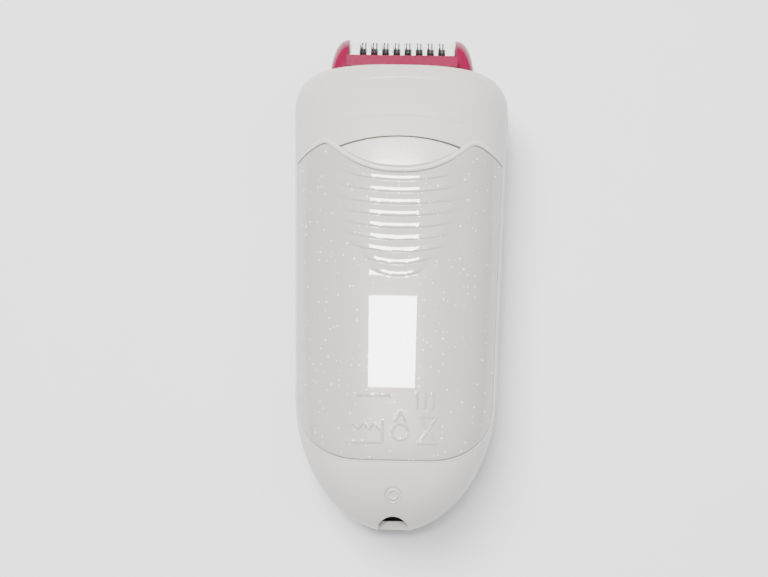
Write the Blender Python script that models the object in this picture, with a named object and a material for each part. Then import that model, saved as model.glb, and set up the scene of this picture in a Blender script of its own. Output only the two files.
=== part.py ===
"""A cordless epilator lying on its front: two housing shells, the drive train, and a pull-off tweezer head.

+Z points out of the device's back, +Y to its head, +X to its right seen from the back. A station is a distance
from the bottom end along +Y. Lengths are metres, written as millimetres times MM. The origin is under the middle
of the device, on the surface it rests on.
"""

import math

import bmesh
import bpy
import numpy as np

MM = 0.001

# Overall sizes
RIM = 133.3 * MM  # bottom end to the mouth of the housing
EAR_RISE = 12.7 * MM  # rim to the tops of the ears
SHOULDER_WIDTH = 64.0 * MM
BOTTOM_WIDTH = 58.6 * MM
PARTING_HEIGHT = 19.5 * MM
BACK_DEPTH = 17.5 * MM  # from the parting plane to the back at mid-length
COLLAR_RISE = 3.0 * MM
RIM_DIP = 2.0 * MM
FRONT_LIFT = 6.0 * MM  # how far the front rises towards the rim
WALL = 2.4 * MM

# Stations of the outline
END_ROUND = 25.0 * MM  # the bottom end is rounded over this length, seen from the side
SIDE_ROUND = 40.0 * MM  # and over this length, seen from the back
END_FLAT = 0.5 * MM
FRONT_FLAT_END = RIM - 28.3 * MM
GEAR_LEAD = 34.8 * MM  # the back starts to rise this far before the crown gear
COLLAR_TOP = RIM - 15.3 * MM
WIDEST = RIM - 10.3 * MM
SHOULDER_DROP = 12.0 * MM
SHOULDER_REACH = 1.05  # the shoulder's quarter ellipse ends this share past the rim
SHOULDER_POWER = 2.5
BACK_POWER = 2.7
FRONT_POWER = 2.6
FLAT_CUT = 0.5 * MM  # the front's section is cut off by this much, which leaves the flat it rests on

# Clearances
GAP = 0.3 * MM  # between pieces that touch
PARTING_GAP = 0.3 * MM
RUNNING_GAP = 0.07 * MM  # a shaft that turns in a bore
OVERCUT = 1.0 * MM

# Back panel and the pieces in the collar
PANEL_THICKNESS = 0.9 * MM
PANEL_REACH = 0.955  # share of the half-width that the panel covers
PANEL_BOTTOM = 19.8 * MM
PANEL_CORNER = 14.0 * MM
PANEL_CORNER_START = 0.3
PANEL_CORNER_POWER = 2.6
PANEL_TOP = RIM - 32.3 * MM
PANEL_PEAK = PANEL_TOP + 9.0 * MM
PANEL_PEAK_OUT = 0.67
PANEL_SHOULDER = PANEL_PEAK - 4.5 * MM
PANEL_SMILE_POWER = 2.4
PANEL_FALL_POWER = 1.4
PANEL_COLUMNS = 23
PANEL_ROWS = 13
BUTTON_HALF = 17.3 * MM
BUTTON_LOW = PANEL_TOP + 1.6 * MM
BUTTON_TIP = BUTTON_LOW + 5.8 * MM
BUTTON_HIGH = BUTTON_TIP + 2.9 * MM
BUTTON_THICKNESS = 2.4 * MM
BUTTON_TRAVEL = 1.0 * MM
TONGUE_HALF = 3.8 * MM
TONGUE_LOW = 34.9 * MM
TONGUE_THICKNESS = 1.4 * MM
TONGUE_INTO_HEAD = 2.0 * MM
SPRING_STATION = BUTTON_LOW + 1.9 * MM
SPRING_RADIUS = 2.2 * MM
SPRING_WIRE = 0.22 * MM
SPRING_TURNS = 2.5

# Bottom end
NOTCH_HALF = 4.1 * MM
NOTCH_SPRING = 25.5 * MM  # height where the notch's arch starts
SOCKET_FACE = 5.2 * MM
SOCKET_BLOCK_START = 8.0 * MM
SOCKET_END = 14.0 * MM
SOCKET_HALF = 6.0 * MM
SOCKET_LOW = 17.0 * MM
SOCKET_HIGH = 27.9 * MM
CAVITY_HALF = 2.9 * MM
CAVITY_LOW = 20.1 * MM
CAVITY_HIGH = 24.4 * MM
CAVITY_DEPTH = 6.6 * MM
PIN_RADIUS = 0.6 * MM
PIN_LENGTH = 4.0 * MM
PIN_OUT = 1.45 * MM
PLUG_STATION = 10.3 * MM
PLUG_RADIUS = 2.35 * MM
PLUG_BOTTOM = 31.1 * MM
PLUG_SUNK = 0.4 * MM
SCREW_HEAD_RADIUS = 2.1 * MM
SCREW_HEAD = 1.2 * MM
SCREW_RADIUS = 1.3 * MM
BOSS_RADIUS = 4.0 * MM

# Front pieces
SWITCH_STATION = FRONT_FLAT_END - 20.0 * MM
SWITCH_DISH_RADIUS = 12.5 * MM
SWITCH_DISH_DEPTH = 3.0 * MM
SWITCH_FLOOR = 2.2 * MM
SWITCH_BAR_HALF = 1.6 * MM
SWITCH_STUB_RADIUS = 3.0 * MM
UNLOCK_INNER = math.radians(215.0)
UNLOCK_OUTER = math.radians(225.0)
UNLOCK_HALF_LENGTH = 4.5 * MM
UNLOCK_THICKNESS = 2.8 * MM
WINDOW_LOW = RIM - 17.3 * MM
WINDOW_HIGH = WINDOW_LOW + 5.0 * MM
WINDOW_SPREAD = math.radians(15.0)
WINDOW_THICKNESS = 2.1 * MM
GUIDE_STATION = SWITCH_STATION - 25.0 * MM
GUIDE_RADIUS = 1.5 * MM
GRIP_LOW = WIDEST - 5.0 * MM
GRIP_HIGH = WIDEST + 3.0 * MM
GRIP_START = math.radians(95.0)
GRIP_END = math.radians(114.0)
GRIP_PROUD = 0.5 * MM
GRIP_DEPTH = 0.9 * MM

# Drive train: one module for every gear
DRIVE_HEIGHT = 21.0 * MM
MODULE = 0.7 * MM
GEAR_OUT = 0.8 * MM  # the gears' plane, out from the ears' inner faces
GEAR_FACE = 1.0 * MM
WIDE_GEAR_FACE = 1.6 * MM
MOTOR_PINION_TEETH = 9
CROWN_TEETH = 28
SMALL_TEETH = 14
OUTPUT_TEETH = 20
TOOTH_SHARE = 0.36  # tooth thickness at the pitch circle, as a share of the pitch
TIP_SHARE = 0.20
CROWN_FOOT_SHARE = 0.48  # the same at the foot of a crown tooth
ADDENDUM = 0.9
DEDENDUM = 1.2
CROWN_TOOTH_LENGTH = 1.9 * MM
CROWN_DISC = 1.8 * MM
SHAFT_RADIUS = 1.2 * MM
THIN_SHAFT_RADIUS = 1.0 * MM
MOTOR_HALF_WIDTH = 12.1 * MM
MOTOR_HALF_HEIGHT = 9.1 * MM
MOTOR_LENGTH = 24.7 * MM
MOTOR_SETBACK = 4.575 * MM  # the motor's face to the middle of its pinion
MOTOR_BORE = 12.5 * MM
MOTOR_SCREW_OUT = 5.0 * MM
MOTOR_SCREW_RADIUS = 0.85 * MM
CELL_RADIUS = 7.15 * MM
CELL_START = 15.2 * MM
CELL_END_GAP = 2.0 * MM  # between the cell and the motor, for a tab
TAB_THICKNESS = 0.3 * MM
BRACKET_PLATE = 1.4 * MM
CHEEK = 1.5 * MM
BRIDGE_CLEARANCE = 0.925 * MM  # over the crown gear
BRIDGE_THICKNESS = 1.2 * MM

# Chassis and board
CHASSIS_START = 15.0 * MM
CHASSIS_HALF = 13.0 * MM
CHASSIS_WALL = 1.6 * MM
CHASSIS_FLOOR_LOW = 10.2 * MM
CHASSIS_FLOOR = 1.4 * MM
CHASSIS_SIDE_TOP = 24.0 * MM
BOARD_HALF = 12.5 * MM
BOARD_START = 24.0 * MM
BOARD_END = SWITCH_STATION + 3.0 * MM
BOARD_LOW = 8.0 * MM
BOARD_THICKNESS = 1.2 * MM

# Head
SEAT_LOW = RIM - 12.4 * MM
SEAT_THICKNESS = 1.4 * MM
SEAT_SCREW_OUT = SHOULDER_WIDTH / 2 - WALL - 4.8 * MM
SEAL_THICKNESS = 1.0 * MM
HEAD_BASE_LOW = SEAT_LOW + SEAT_THICKNESS + GAP
HEAD_DECK = RIM + 0.7 * MM
HEAD_WALL_TOP = HEAD_DECK + 3.0 * MM
HEAD_WALL = 2.6 * MM
EAR_CLEARANCE = 0.4 * MM  # beside the roller
EAR_REACH = 5.5 * MM
EAR_HALF_DEPTH = 9.6 * MM
EAR_POWER = 2.3
CUP_SETBACK = 2.2 * MM  # the cup's side, in from the gears' plane
CUP_WALL = 1.8 * MM

# Roller
ROLLER_STATION = RIM + 5.1 * MM
ROLLER_END = 3.775 * MM  # past the last column
DRUM_RADIUS = 6.6 * MM
HUB_RADIUS = 2.6 * MM
TIP_RADIUS = 7.0 * MM
DISC_RADIUS = 6.2 * MM
COLUMN_COUNT = 8
COLUMN_PITCH = 3.35 * MM
GROOVE_HALF = 1.05 * MM
DISC_NEAR = 0.3 * MM  # the fixed blade lies between these two distances on one side of its column
DISC_FAR = 0.75 * MM
FINGER_NEAR = 0.25 * MM  # and the clamping finger between these two on the other side
FINGER_FAR = 0.7 * MM
BAR_COUNT = 5
BAR_LOW = 3.95 * MM
BAR_HIGH = 5.05 * MM
BAR_WIDTH = 1.5 * MM
BAR_SETBACK = 0.9 * MM  # a bar's end, in from the roller's
BUSH_RADIUS = 2.2 * MM
BUSH_LENGTH = 1.1 * MM

# Mesh fineness
SECTION_STEPS = 18
END_STEPS = 7
MIDDLE_STEPS = 9
SHOULDER_STEPS = 5
ROUND_SIDES = 20
SMALL_SIDES = 12
OFF_SEAM = math.radians(7.0)  # turns a round cut off the shell's own mesh lines
FILL_SCALE = 1000.0  # outlines are filled at this scale, a few units across, and scaled back

# Heights and stations that follow from the sizes above
LENGTH = RIM + EAR_RISE
ROLLER_HALF = (COLUMN_COUNT - 1) / 2 * COLUMN_PITCH + ROLLER_END
BAR_HALF_LENGTH = ROLLER_HALF - BAR_SETBACK
EAR_INNER = ROLLER_HALF + EAR_CLEARANCE
GEAR_PLANE = EAR_INNER + GEAR_OUT
CUP_HALF = GEAR_PLANE - CUP_SETBACK
TONGUE_END = HEAD_BASE_LOW + TONGUE_INTO_HEAD
PINION_PITCH_RADIUS = MODULE * MOTOR_PINION_TEETH / 2
CROWN_PITCH_RADIUS = MODULE * CROWN_TEETH / 2
SMALL_PITCH_RADIUS = MODULE * SMALL_TEETH / 2
OUTPUT_PITCH_RADIUS = MODULE * OUTPUT_TEETH / 2
IDLER_STATION = ROLLER_STATION - 2 * SMALL_PITCH_RADIUS
OUTPUT_STATION = IDLER_STATION - SMALL_PITCH_RADIUS - OUTPUT_PITCH_RADIUS
CROWN_STATION = OUTPUT_STATION - OUTPUT_PITCH_RADIUS - SMALL_PITCH_RADIUS
COLLAR_START = CROWN_STATION - GEAR_LEAD
MESH_STATION = CROWN_STATION - CROWN_PITCH_RADIUS + CROWN_TOOTH_LENGTH / 4
MOTOR_END = MESH_STATION - MOTOR_SETBACK
MOTOR_START = MOTOR_END - MOTOR_LENGTH
CELL_LENGTH = MOTOR_START - CELL_END_GAP - CELL_START
PLATE_START = MOTOR_END + GAP
PLATE_END = PLATE_START + BRACKET_PLATE
CHEEK_END = SEAT_LOW - GAP - SEAL_THICKNESS - GAP
BRIDGE_LOW = DRIVE_HEIGHT + CROWN_PITCH_RADIUS + CROWN_TOOTH_LENGTH / 4 + BRIDGE_CLEARANCE
CROWN_ROOT = PINION_PITCH_RADIUS + DEDENDUM * MODULE
CROWN_BACK = CROWN_ROOT + CROWN_DISC
SMALL_TIP_RADIUS = SMALL_PITCH_RADIUS + ADDENDUM * MODULE
OUTPUT_TIP_RADIUS = OUTPUT_PITCH_RADIUS + ADDENDUM * MODULE
SWITCH_BOSS_TOP = SWITCH_DISH_DEPTH + SWITCH_FLOOR


# ---- geometry helpers ----


def along(station):
    """World Y of a station."""
    return station - LENGTH / 2


def smooth(share):
    share = np.clip(share, 0.0, 1.0)
    return share * share * (3.0 - 2.0 * share)


def fullness(station, end_length, inset):
    """Share of the full section: a quarter ellipse over the rounded bottom end, then 1."""
    ahead = np.clip((end_length - station) / (end_length + END_FLAT - inset), 0.0, 1.0)
    return np.sqrt(1.0 - ahead**2)


def half_width(station, inset=0.0):
    """Half the body's width: a rounded end, sides that widen a little, and a round shoulder at the rim."""
    widening = np.clip((station - SIDE_ROUND) / (WIDEST - SIDE_ROUND), 0.0, 1.0)
    side = BOTTOM_WIDTH / 2 + (SHOULDER_WIDTH - BOTTOM_WIDTH) / 2 * widening - inset
    reach = (RIM - WIDEST) * SHOULDER_REACH

    def shoulder(depth):
        share = np.clip((station - WIDEST) / (reach - depth), 0.0, 1.0) ** SHOULDER_POWER
        return (SHOULDER_DROP - depth) * (1.0 - (1.0 - share) ** (1.0 / SHOULDER_POWER))

    at_rim = (1.0 - (1.0 / SHOULDER_REACH) ** SHOULDER_POWER) ** (1.0 / SHOULDER_POWER)
    mouth = SHOULDER_WIDTH / 2 - SHOULDER_DROP * (1.0 - at_rim) - inset
    narrowed = np.where(station > WIDEST, np.maximum(side - shoulder(inset), mouth), side)
    return narrowed * fullness(station, SIDE_ROUND, inset)


def back_height(station, inset=0.0):
    """Height of the back above the parting plane."""
    rise = COLLAR_RISE * smooth((station - COLLAR_START) / (COLLAR_TOP - COLLAR_START))
    dip = RIM_DIP * np.clip((station - COLLAR_TOP) / (RIM - COLLAR_TOP), 0.0, 1.0) ** 2
    return (BACK_DEPTH + rise - dip - inset) * fullness(station, END_ROUND, inset)


def front_depth(station, inset=0.0):
    """Depth of the front below the parting plane."""
    lift = FRONT_LIFT * smooth((station - FRONT_FLAT_END) / (RIM - FRONT_FLAT_END))
    return (PARTING_HEIGHT - lift - inset) * fullness(station, END_ROUND, inset)


def body_point(station, theta, inset=0.0):
    """Points on the body's surface, moved in by inset. Theta turns from the middle of the back towards +X."""
    sine, cosine = np.sin(theta), np.cos(theta)
    power = np.where(cosine >= 0.0, BACK_POWER, FRONT_POWER)
    radius = (np.abs(sine) ** power + np.abs(cosine) ** power) ** (-1.0 / power)
    depth = front_depth(station, inset)
    cut = FLAT_CUT * fullness(station, END_ROUND, inset)
    up = np.maximum(cosine * radius * back_height(station, inset), PARTING_GAP / 2)
    down = np.clip(-cosine * radius * (depth + cut), PARTING_GAP / 2, depth)
    height = PARTING_HEIGHT + np.where(cosine >= -1e-9, up, -down)
    if np.ndim(theta) and np.min(cosine) < -1e-6:
        height = np.where(cosine <= 1e-9, PARTING_HEIGHT - down, height)
    return np.stack(np.broadcast_arrays(half_width(station, inset) * sine * radius, along(station), height), axis=-1)


def back_angle(share):
    """Theta on the back where the surface reaches this share of the half-width."""
    return np.arctan2(share, (1.0 - np.abs(share) ** BACK_POWER) ** (1.0 / BACK_POWER))


def circle(across, up, radius, sides=ROUND_SIDES, turn=0.0):
    angles = turn + np.arange(sides) * 2.0 * math.pi / sides
    return [(across + radius * math.cos(a), up + radius * math.sin(a)) for a in angles]


def rectangle(left, right, low, high):
    return [(left, low), (right, low), (right, high), (left, high)]


def turned_about(points, across, up, angle):
    """Points turned about (across, up)."""
    cosine, sine = math.cos(angle), math.sin(angle)
    return [
        (across + (u - across) * cosine - (v - up) * sine, up + (u - across) * sine + (v - up) * cosine)
        for u, v in points
    ]


def place(axis, first, second, distance):
    """A point from its two coordinates across an axis and its distance along it."""
    return {"X": (distance, first, second), "Y": (first, distance, second), "Z": (first, second, distance)}[axis]


# ---- objects ----


def clear_scene():
    for item in list(bpy.data.objects):
        bpy.data.objects.remove(item, do_unlink=True)


def new_object(name, mesh, origin=(0.0, 0.0, 0.0)):
    """A named object from a bmesh, with its origin at the given point."""
    bmesh.ops.recalc_face_normals(mesh, faces=mesh.faces)
    bmesh.ops.translate(mesh, verts=mesh.verts, vec=[-value for value in origin])
    data = bpy.data.meshes.new(name)
    mesh.to_mesh(data)
    mesh.free()
    item = bpy.data.objects.new(name, data)
    item.location = origin
    bpy.context.collection.objects.link(item)
    return item


def grid_body(name, outer, inner, origin=(0.0, 0.0, 0.0)):
    """A closed slab between two grids of points of the same size."""
    mesh = bmesh.new()
    rows, columns = outer.shape[:2]
    top = [[mesh.verts.new(outer[r, c]) for c in range(columns)] for r in range(rows)]
    low = [[mesh.verts.new(inner[r, c]) for c in range(columns)] for r in range(rows)]
    for r in range(rows - 1):
        for c in range(columns - 1):
            mesh.faces.new((top[r][c], top[r][c + 1], top[r + 1][c + 1], top[r + 1][c]))
            mesh.faces.new((low[r][c], low[r + 1][c], low[r + 1][c + 1], low[r][c + 1]))
    border = [(0, c) for c in range(columns)] + [(r, columns - 1) for r in range(1, rows)]
    border += [(rows - 1, c) for c in range(columns - 2, -1, -1)] + [(r, 0) for r in range(rows - 2, 0, -1)]
    for (r, c), (s, d) in zip(border, border[1:] + border[:1]):
        mesh.faces.new((top[r][c], low[r][c], low[s][d], top[s][d]))
    return new_object(name, mesh, origin)


def prism(name, outline, axis, low, high, holes=(), origin=(0.0, 0.0, 0.0)):
    """An outline, with its holes left open, drawn out along an axis."""
    mesh = bmesh.new()
    edges = []
    for loop in (outline, *holes):
        corners = [mesh.verts.new([v * FILL_SCALE for v in place(axis, u, v, low)]) for u, v in loop]
        edges += [mesh.edges.new(pair) for pair in zip(corners, corners[1:] + corners[:1])]
    bmesh.ops.triangle_fill(mesh, use_beauty=True, use_dissolve=False, edges=edges)
    drawn = bmesh.ops.extrude_face_region(mesh, geom=mesh.faces[:])["geom"]
    shift = [value * FILL_SCALE for value in place(axis, 0.0, 0.0, high - low)]
    bmesh.ops.translate(mesh, verts=[g for g in drawn if isinstance(g, bmesh.types.BMVert)], vec=shift)
    bmesh.ops.scale(mesh, vec=[1.0 / FILL_SCALE] * 3, verts=mesh.verts)
    return new_object(name, mesh, origin)


def block(name, x_span, station_span, z_span, origin=(0.0, 0.0, 0.0)):
    """A box from its spans in X, station and Z."""
    outline = rectangle(*x_span, along(station_span[0]), along(station_span[1]))
    return prism(name, outline, "Z", *z_span, origin=origin)


def turned(name, profile, axis, across, up, sides=ROUND_SIDES, closed=False, origin=(0.0, 0.0, 0.0)):
    """A round piece from a profile of (distance along the axis, radius); a closed profile leaves a bore."""
    mesh = bmesh.new()
    rings = [
        [mesh.verts.new(place(axis, u, v, distance)) for u, v in circle(across, up, radius, sides)]
        for distance, radius in profile
    ]
    pairs = list(zip(rings, rings[1:])) + ([(rings[-1], rings[0])] if closed else [])
    for first, second in pairs:
        for i in range(sides):
            j = (i + 1) % sides
            mesh.faces.new((first[i], first[j], second[j], second[i]))
    if not closed:
        mesh.faces.new(rings[0])
        mesh.faces.new(rings[-1])
    return new_object(name, mesh, origin)


def ring(name, axis, across, up, low, high, outer, inner, sides=ROUND_SIDES, origin=(0.0, 0.0, 0.0)):
    profile = [(low, inner), (low, outer), (high, outer), (high, inner)]
    return turned(name, profile, axis, across, up, sides, closed=True, origin=origin)


def combine(target, tool, operation="DIFFERENCE"):
    """Cuts the tool out of the target, or joins it on, and removes the tool."""
    modifier = target.modifiers.new(operation.lower(), "BOOLEAN")
    modifier.operation = operation
    modifier.object = tool
    modifier.solver = "EXACT"
    graph = bpy.context.evaluated_depsgraph_get()
    baked = bpy.data.meshes.new_from_object(target.evaluated_get(graph))
    target.modifiers.clear()
    target.data = baked
    bpy.data.objects.remove(tool, do_unlink=True)
    return target


def cut(target, *tools):
    for tool in tools:
        combine(target, tool)
    return target


def join(target, *tools):
    for tool in tools:
        combine(target, tool, "UNION")
    return target


MATERIALS = {
    # slot: (base colour, roughness, metallic, alpha)
    "ivory_plastic": ((0.80, 0.77, 0.72), 0.45, 0.0, 1.0),
    "pearl_panel": ((0.84, 0.82, 0.79), 0.12, 0.0, 1.0),
    "pink_plastic": ((0.62, 0.05, 0.22), 0.15, 0.0, 1.0),
    "white_plastic": ((0.85, 0.84, 0.82), 0.35, 0.0, 1.0),
    "dark_rubber": ((0.10, 0.10, 0.11), 0.70, 0.0, 1.0),
    "tweezer_steel": ((0.70, 0.70, 0.70), 0.25, 1.0, 1.0),
    "steel": ((0.55, 0.55, 0.56), 0.30, 1.0, 1.0),
    "brass": ((0.75, 0.58, 0.28), 0.30, 1.0, 1.0),
    "gear_plastic": ((0.78, 0.76, 0.68), 0.45, 0.0, 1.0),
    "black_plastic": ((0.04, 0.04, 0.045), 0.50, 0.0, 1.0),
    "board_laminate": ((0.04, 0.22, 0.10), 0.40, 0.0, 1.0),
    "cell_wrap": ((0.10, 0.28, 0.50), 0.35, 0.0, 1.0),
    "clear_lens": ((0.90, 0.92, 0.93), 0.05, 0.0, 0.35),
}


def finish(slot, *items):
    """Gives each object its slot's material and smooth round faces."""
    colour, roughness, metallic, alpha = MATERIALS[slot]
    material = bpy.data.materials.get(slot)
    if material is None:
        material = bpy.data.materials.new(slot)
        material.use_nodes = True
        shader = material.node_tree.nodes["Principled BSDF"]
        shader.inputs["Base Color"].default_value = (*colour, 1.0)
        shader.inputs["Roughness"].default_value = roughness
        shader.inputs["Metallic"].default_value = metallic
        shader.inputs["Alpha"].default_value = alpha
    for item in items:
        item.data.materials.clear()
        item.data.materials.append(material)
        if item.type == "MESH":
            item.data.shade_smooth()
            item.data.set_sharp_from_angle(angle=math.radians(32.0))


# ---- housing ----


def shell(name, first_angle):
    """Half of the housing, open at the rim and along the parting plane."""
    thetas = first_angle + np.linspace(0.0, math.pi, SECTION_STEPS + 1)

    def stations(first):
        end = first + (END_ROUND - first) * (1.0 - np.cos(np.linspace(0.0, math.pi / 2, END_STEPS + 1)))
        middle = np.linspace(END_ROUND, WIDEST, MIDDLE_STEPS + 1)[1:]
        top = WIDEST + (RIM - WIDEST) * np.sin(np.linspace(0.0, math.pi / 2, SHOULDER_STEPS + 1))[1:]
        return np.concatenate([end, middle, top])[:, None]

    outer = body_point(stations(0.0), thetas[None, :])
    inner = body_point(stations(WALL), thetas[None, :], WALL)
    for grid in (outer, inner):
        for column in (0, -1):  # both free edges lie on this shell's side of the parting gap
            side = 1.0 if first_angle < 0.0 else -1.0
            grid[:, column, 2] = PARTING_HEIGHT + side * PARTING_GAP / 2
    return end_closed(name, outer, inner)


def end_closed(name, outer, inner):
    """The shell's slab with a flat face over each grid's first row instead of a strip between the two."""
    mesh = bmesh.new()
    rows, columns = outer.shape[:2]
    grids = []
    for grid in (outer, inner):
        corners = [[mesh.verts.new(grid[r, c]) for c in range(columns)] for r in range(rows)]
        for r in range(rows - 1):
            for c in range(columns - 1):
                mesh.faces.new((corners[r][c], corners[r][c + 1], corners[r + 1][c + 1], corners[r + 1][c]))
        mesh.faces.new(corners[0])
        grids.append(corners)
    top, low = grids
    edge = [(r, 0) for r in range(rows - 1, -1, -1)] + [(r, columns - 1) for r in range(rows)]
    for (r, c), (s, d) in zip(edge, edge[1:]):
        mesh.faces.new((top[r][c], low[r][c], low[s][d], top[s][d]))
    for c in range(columns - 1):
        mesh.faces.new((top[-1][c], low[-1][c], low[-1][c + 1], top[-1][c + 1]))
    return new_object(name, mesh)


def panel_edges(share):
    """Stations of the panel's bottom and top edge where it reaches this share of the half-width."""
    out = np.abs(share)
    corner = np.clip((out - PANEL_CORNER_START) / (PANEL_REACH - PANEL_CORNER_START), 0.0, 1.0)
    drop = (1.0 - corner**PANEL_CORNER_POWER) ** (1.0 / PANEL_CORNER_POWER)
    low = PANEL_BOTTOM + PANEL_CORNER * (1.0 - drop)
    smile = PANEL_TOP + (PANEL_PEAK - PANEL_TOP) * np.minimum(out / PANEL_PEAK_OUT, 1.0) ** PANEL_SMILE_POWER
    fall = np.clip((out - PANEL_PEAK_OUT) / (PANEL_REACH - PANEL_PEAK_OUT), 0.0, 1.0)
    return low, smile - (PANEL_PEAK - PANEL_SHOULDER) * fall**PANEL_FALL_POWER


def panel_body(name, margin, outer, inner):
    """The panel's slab, widened by margin, between two insets."""
    fractions = np.sin(np.linspace(-math.pi / 2, math.pi / 2, PANEL_COLUMNS))
    low, high = panel_edges(fractions * PANEL_REACH)
    shares = fractions * (PANEL_REACH + margin / SHOULDER_WIDTH)
    rows = np.linspace(0.0, 1.0, PANEL_ROWS)[:, None]
    stations = low - margin + (high - low + 2.0 * margin) * rows
    thetas = back_angle(shares)[None, :]
    return grid_body(name, body_point(stations, thetas, outer), body_point(stations, thetas, inner))


def button_body(name, margin, outer, inner, origin=(0.0, 0.0, 0.0)):
    """The release button's lens-shaped slab, widened by margin."""
    fractions = np.sin(np.linspace(-1.0, 1.0, 13) * math.radians(80.0))
    low = BUTTON_LOW + (BUTTON_TIP - BUTTON_LOW) * np.abs(fractions) ** PANEL_SMILE_POWER
    high = BUTTON_HIGH - (BUTTON_HIGH - BUTTON_TIP) * fractions**2
    shares = fractions * (BUTTON_HALF + 2.0 * margin) / half_width(BUTTON_TIP)
    rows = np.linspace(0.0, 1.0, 5)[:, None]
    stations = low - margin + (high - low + 2.0 * margin) * rows
    thetas = back_angle(shares)[None, :]
    return grid_body(name, body_point(stations, thetas, outer), body_point(stations, thetas, inner), origin)


def wrapped_block(name, stations, thetas, outer, inner, margin=0.0, origin=(0.0, 0.0, 0.0)):
    """A slab that follows the body's surface between two stations and two angles."""
    spread = margin / (BOTTOM_WIDTH / 2)
    rows = np.linspace(stations[0] - margin, stations[1] + margin, 4)[:, None]
    columns = np.linspace(thetas[0] - spread, thetas[1] + spread, 5)[None, :]
    return grid_body(name, body_point(rows, columns, outer), body_point(rows, columns, inner), origin)


def notch_outline(margin):
    """The socket notch: a flat bottom edge, straight sides and a round arch."""
    half = NOTCH_HALF + margin
    arch = [
        (half * math.cos(a), NOTCH_SPRING + half * math.sin(a)) for a in np.linspace(0.0, math.pi, 9)
    ]
    low = PARTING_HEIGHT + PARTING_GAP - margin
    return [(-half, low), (half, low)] + arch


def screw_shoulder():
    """Height of the ledge that the housing screw's head sits on."""
    return PLUG_BOTTOM - GAP - SCREW_HEAD - GAP


def make_rear_housing():
    housing = shell("rear_housing", -math.pi / 2)
    plug_y = along(PLUG_STATION)
    boss_low = SOCKET_HIGH + GAP
    shell_top = PARTING_HEIGHT + float(back_height(PLUG_STATION, WALL / 2))
    join(housing, prism("boss", circle(0.0, plug_y, BOSS_RADIUS), "Z", boss_low, shell_top))
    cut(
        housing,
        panel_body("panel_recess", GAP, -OVERCUT, PANEL_THICKNESS + GAP),
        button_body("button_hole", GAP, -OVERCUT, WALL + OVERCUT),
        prism("notch", notch_outline(0.0), "Y", along(-OVERCUT), along(SOCKET_BLOCK_START + 2.0 * GAP)),
        prism("counterbore", circle(0.0, plug_y, PLUG_RADIUS + GAP), "Z", screw_shoulder(),
              PARTING_HEIGHT + BACK_DEPTH + OVERCUT),
        prism("screw_hole", circle(0.0, plug_y, SCREW_RADIUS + GAP, SMALL_SIDES), "Z", boss_low - OVERCUT,
              PLUG_BOTTOM),
    )
    finish("ivory_plastic", housing)


def make_front_housing():
    housing = shell("front_housing", math.pi / 2)
    switch_y = along(SWITCH_STATION)
    join(housing, prism("switch_boss", circle(0.0, switch_y, SWITCH_DISH_RADIUS + WALL, 28), "Z", WALL / 2,
                        SWITCH_BOSS_TOP))
    cut(
        housing,
        prism("dish", circle(0.0, switch_y, SWITCH_DISH_RADIUS, 28), "Z", -OVERCUT, SWITCH_DISH_DEPTH),
        prism("stub_hole", circle(0.0, switch_y, SWITCH_STUB_RADIUS + GAP), "Z", 0.0,
              SWITCH_BOSS_TOP + OVERCUT),
        prism("guide_hole", circle(0.0, along(GUIDE_STATION), GUIDE_RADIUS + GAP, SMALL_SIDES, OFF_SEAM), "Z",
              -OVERCUT, WALL + OVERCUT),
        wrapped_block("window_hole", (WINDOW_LOW, WINDOW_HIGH),
                      (math.pi - WINDOW_SPREAD, math.pi + WINDOW_SPREAD), -OVERCUT, WALL + OVERCUT, GAP),
    )
    for side in (-1, 1):
        cut(housing, unlock_body("unlock_hole", side, GAP, -OVERCUT, WALL + OVERCUT),
            grip_body("grip_recess", side, GAP, -OVERCUT, GRIP_DEPTH + GAP))
    finish("ivory_plastic", housing)


def unlock_body(name, side, margin, outer, inner):
    """An unlock button beside the switch, on the given side of the middle plane."""
    angles = (UNLOCK_INNER, UNLOCK_OUTER) if side < 0 else (2 * math.pi - UNLOCK_OUTER, 2 * math.pi - UNLOCK_INNER)
    span = (SWITCH_STATION - UNLOCK_HALF_LENGTH, SWITCH_STATION + UNLOCK_HALF_LENGTH)
    centre = (0.0, along(SWITCH_STATION), 0.0)
    return wrapped_block(name, span, angles, outer, inner, margin, centre)


def grip_body(name, side, margin, outer, inner):
    angles = (GRIP_START, GRIP_END) if side > 0 else (2 * math.pi - GRIP_END, 2 * math.pi - GRIP_START)
    return wrapped_block(name, (GRIP_LOW, GRIP_HIGH), angles, outer, inner, margin)


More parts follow.
